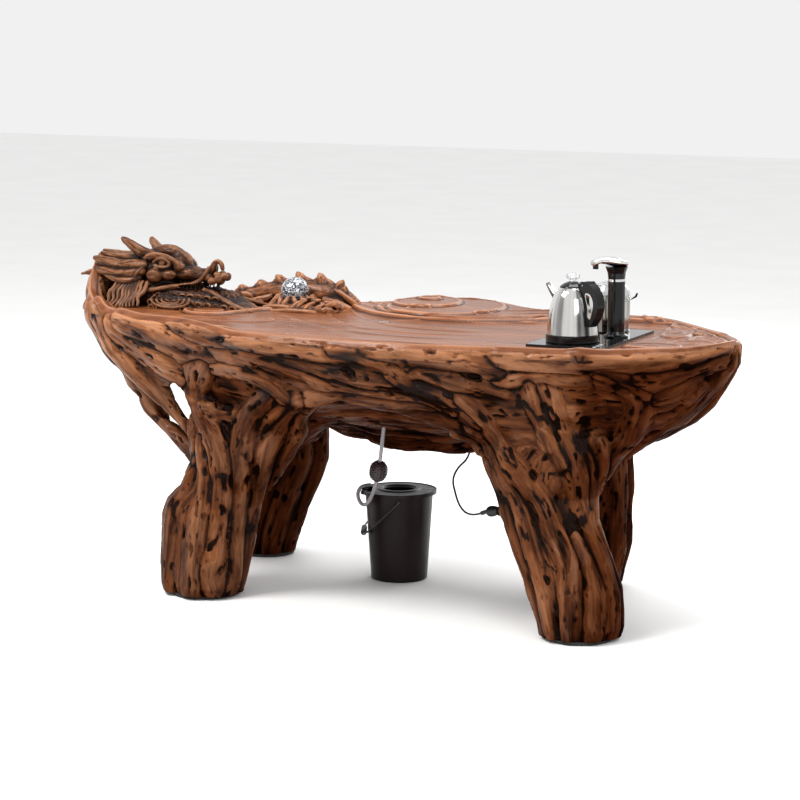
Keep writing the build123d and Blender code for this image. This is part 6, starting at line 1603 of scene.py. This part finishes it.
def crest():
    f = Field((-690.0, 118.0, 712.0), (-236.0, 250.0, 828.0), 1.9, 24.0)
    S = []
    body = [(-664, 178, 716, 10), (-630, 180, 722, 18), (-596, 182, 730, 24), (-555, 184, 738, 27), (-510, 186, 746, 30), (-465, 187, 752, 32),
            (-420, 187, 754, 33), (-375, 187, 754, 33), (-335, 187, 750, 31), (-300, 188, 740, 26), (-270, 189, 728, 18), (-250, 190, 718, 10)]
    st = Strand(body, 10, 10)
    f.strand(st)
    S.append(st)
    tips = [(-606, 760, -12), (-548, 776, -13), (-492, 795, -15), (-430, 806, -12), (-366, 806, -7), (-304, 790, 12)]
    for x, z, lean in tips:
        base = float(np.interp(x, [b[0] for b in body], [b[2] + b[3] for b in body])) - 8
        for off, rr in ((0, 1.12), (-17, 0.86), (17, 0.86)):
            top = z - abs(off) * 0.95
            sp = Strand([(x - lean * 1.6 + off * 1.5, 186, base - 22, 20 * rr), (x - lean * 0.9 + off * 1.1, 184, base - 2, 16 * rr),
                         (x - lean * 0.2 + off * 0.6, 183, (base + top) / 2 + 2, 10.5 * rr), (x + lean * 0.3 + off * 0.3, 182, top - 5, 5.5 * rr), (x + lean * 0.5 + off * 0.2, 181, top, 2.4)], 6, 5)
            f.strand(sp)
            S.append(sp)
        for yy in (160, 212):
            sg = 1 if yy < 186 else -1
            r = Strand([(x - 24, yy - 2 * sg, base - 46, 5), (x - 14, yy + sg * 4, base - 24, 5.5), (x - 2, yy + sg * 14, base - 4, 5), (x + lean * 0.1, 184, z - 14, 3)], 3, 4)
            f.strand(r)
            S.append(r)
            r = Strand([(x + 6, yy, base - 48, 4), (x + 10, yy + sg * 4, base - 28, 4.6), (x + 8, yy + sg * 13, base - 8, 4), (x + lean * 0.2, 184, z - 20, 3)], 3, 4)
            f.strand(r)
    for pts in ([(-660, 150, 720, 8), (-620, 148, 730, 8), (-585, 150, 742, 8), (-560, 154, 736, 6), (-575, 150, 726, 5)],
                [(-600, 146, 716, 9), (-560, 142, 724, 9), (-520, 146, 734, 8), (-500, 150, 742, 6)],
                [(-340, 160, 740, 10), (-310, 156, 734, 10), (-285, 152, 726, 9), (-262, 150, 718, 7)],
                [(-330, 172, 764, 8), (-300, 170, 756, 8), (-276, 170, 742, 8), (-256, 172, 728, 7), (-244, 176, 718, 5)],
                [(-520, 226, 718, 10), (-460, 232, 730, 10), (-400, 230, 728, 10), (-340, 224, 720, 8)]):
        st = Strand(pts, 4, 6)
        f.strand(st)
        S.append(st)
    f.F[:] = np.maximum(f.F, 717.0 - f.zs[None, None, :])
    obj = carved("crest_carving", f, S, groove=1.0, lump=1.0, gain=1.1, tone=-0.16, floor_z=717.0)
    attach(obj, "root")
    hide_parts("dragon_crest")
    return obj


BALL = np.array([-407.0, 113.0, 764.0])


def cradle():
    f = Field((-520.0, 6.0, 712.0), (-240.0, 168.0, 792.0), 1.6, 24.0)
    S = []
    f.blob((-392, 96, 722), (92, 58, 20), 10)
    f.blob((-310, 78, 722), (52, 50, 18), 10)
    # knuckled claws round the ball, with waves breaking to the right
    for n in range(11):
        a = math.radians(150 + 24 * n)
        c, s_ = math.cos(a), math.sin(a)
        r = 50
        w = 7 if n % 2 else -7
        pts = [(BALL[0] + (r + 20) * c, BALL[1] + (r + 18) * s_, 718, 9), (BALL[0] + (r + 10) * c + w * s_, BALL[1] + (r + 8) * s_ - w * c, 730, 9),
               (BALL[0] + (r + 1) * c, BALL[1] + (r - 1) * s_, 743, 7.5), (BALL[0] + (r - 4) * c - w * 0.5 * s_, BALL[1] + (r - 4) * s_, 752, 4.5)]
        pts = [(x, min(y, 158.0), z, rr) for x, y, z, rr in pts]
        st = Strand(pts, 3, 5)
        f.strand(st)
        S.append(st)
    for n in range(9):
        x = -372 + 13.5 * n
        y = 44 + 3.5 * (n % 3) - 1.5 * n * 0.2
        zt = 744 - 2.2 * n + (6 if n % 2 else 0)
        st = Strand([(x - 10, y - 10, 718, 8), (x - 2, y - 14, 728, 7.5), (x + 8, y - 6, zt - 4, 6), (x + 14, y + 4, zt, 4.5), (x + 10, y + 8, zt - 8, 3)], 2.5, 4)
        f.strand(st)
        S.append(st)
        st = Strand([(x - 4, y + 26, 720, 9), (x + 6, y + 22, 738, 8), (x + 16, y + 18, zt + 4, 6), (x + 24, y + 18, zt + 6, 3.5)], 2.5, 4)
        f.strand(st)
        S.append(st)
    for pts in ([(-300, 60, 724, 11), (-276, 52, 734, 11), (-258, 50, 744, 9), (-250, 52, 736, 6)],
                [(-470, 60, 720, 9), (-440, 44, 726, 8), (-405, 36, 728, 8), (-370, 32, 726, 7), (-330, 30, 722, 6)],
                [(-440, 30, 717, 6), (-400, 22, 722, 6), (-352, 18, 724, 6), (-310, 22, 722, 6), (-276, 34, 718, 5)]):
        st = Strand(pts, 3, 5)
        f.strand(st)
        S.append(st)
    # the ball's seat, clear all the way up
    x, y, z = f.xs[:, None, None], f.ys[None, :, None], f.zs[None, None, :]
    rr = np.hypot(x - BALL[0], y - BALL[1]) + 0 * z
    seat = np.where(z < BALL[2], np.sqrt(rr ** 2 + (z - BALL[2]) ** 2), rr) - 41.0
    f.F = smax(f.F, (-seat).astype(np.float32), 2.0)
    f.F[:] = np.maximum(f.F, 717.0 - z)
    obj = carved("cradle_carving", f, S, groove=0.4, lump=0.3, gain=1.25, tone=-0.20, floor_z=717.0)
    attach(obj, "root")
    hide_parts("ball_cradle")
    return obj


dragon()
crest()
cradle()

# crystal ball, cut in many flat facets
bpy.ops.mesh.primitive_ico_sphere_add(subdivisions=4, radius=0.0389, location=(0, 0, 0))
ball = bpy.context.object
ball.name = "faceted_ball"
bm_ = ball.data
co = np.empty(len(bm_.vertices) * 3)
bm_.vertices.foreach_get("co", co)
co = co.reshape(-1, 3)
u = co / np.linalg.norm(co, axis=1)[:, None]
rng_ = np.random.default_rng(5)
dirs = rng_.normal(size=(150, 3))
dirs /= np.linalg.norm(dirs, axis=1)[:, None]
for _ in range(30):
    d = dirs[:, None] - dirs[None]
    l = np.linalg.norm(d, axis=2) + np.eye(150)
    dirs += (d / l[..., None] ** 3 * (1 - np.eye(150))[..., None]).sum(1) * 0.0012
    dirs /= np.linalg.norm(dirs, axis=1)[:, None]
cut = (u @ dirs.T).max(1)
co = u * (0.0389 * 0.982 / cut)[:, None].clip(0, 0.0389)
bm_.vertices.foreach_set("co", (co + np.array(place(*BALL))).ravel())
bm_.update()
ball.data.materials.append(M["crystal"])
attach(ball, "ball")
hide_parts("crystal_ball")

# ------------------------------------------------------------------ the carved bead on the drain hose
def carved_bead():
    p1, p2 = np.array(HOSE[1], float), np.array(HOSE[2], float)
    d = p2 - p1
    c = p1 + 0.47 * d
    d /= np.linalg.norm(d)
    e1 = np.cross(d, (0, 1.0, 0))
    e1 /= np.linalg.norm(e1)
    e2 = np.cross(d, e1)
    nu, nv = 120, 96
    verts, faces = [], []
    for j in range(nv + 1):
        t = j / nv
        s_ = (t - 0.5) * 62.0
        body = 24.2 * max(0.0, 1 - abs(2 * t - 0.98) ** 2.6) ** 0.62
        body = max(body, 5.6)
        for i in range(nu):
            a = 2 * math.pi * i / nu
            if body > 7:
                u = a * 9 / (2 * math.pi)
                w = t * 8.5
                g1 = abs(((u + w) % 1.0) - 0.5) * 2
                g2 = abs(((u - w) % 1.0) - 0.5) * 2
                seed = min(1 - g1, 1 - g2)
                body_ = body - 2.6 * (1 - min(1.0, seed * 3.2)) * min(1.0, (body - 7) / 6) + 0.5 * math.sin(9 * a)
            else:
                body_ = body
            v = c + d * s_ + (e1 * math.cos(a) + e2 * math.sin(a)) * body_
            verts.append(place(*v))
    for j in range(nv):
        for i in range(nu):
            k = (i + 1) % nu
            faces.append((j * nu + i, j * nu + k, (j + 1) * nu + k, (j + 1) * nu + i))
    faces.append(tuple(reversed(range(nu))))
    faces.append(tuple(nv * nu + i for i in range(nu)))
    me = bpy.data.meshes.new("carved_bead")
    me.from_pydata([tuple(v) for v in verts], [], faces)
    me.polygons.foreach_set("use_smooth", [True] * (len(faces) - 2) + [False] * 2)
    me.update()
    obj = link(bpy.data.objects.new("carved_bead", me))
    obj.data.materials.append(M["bead_dark"])
    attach(obj, "root")
    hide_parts("hose_bead")
    return obj


HOSE_PIECE = carved_bead()
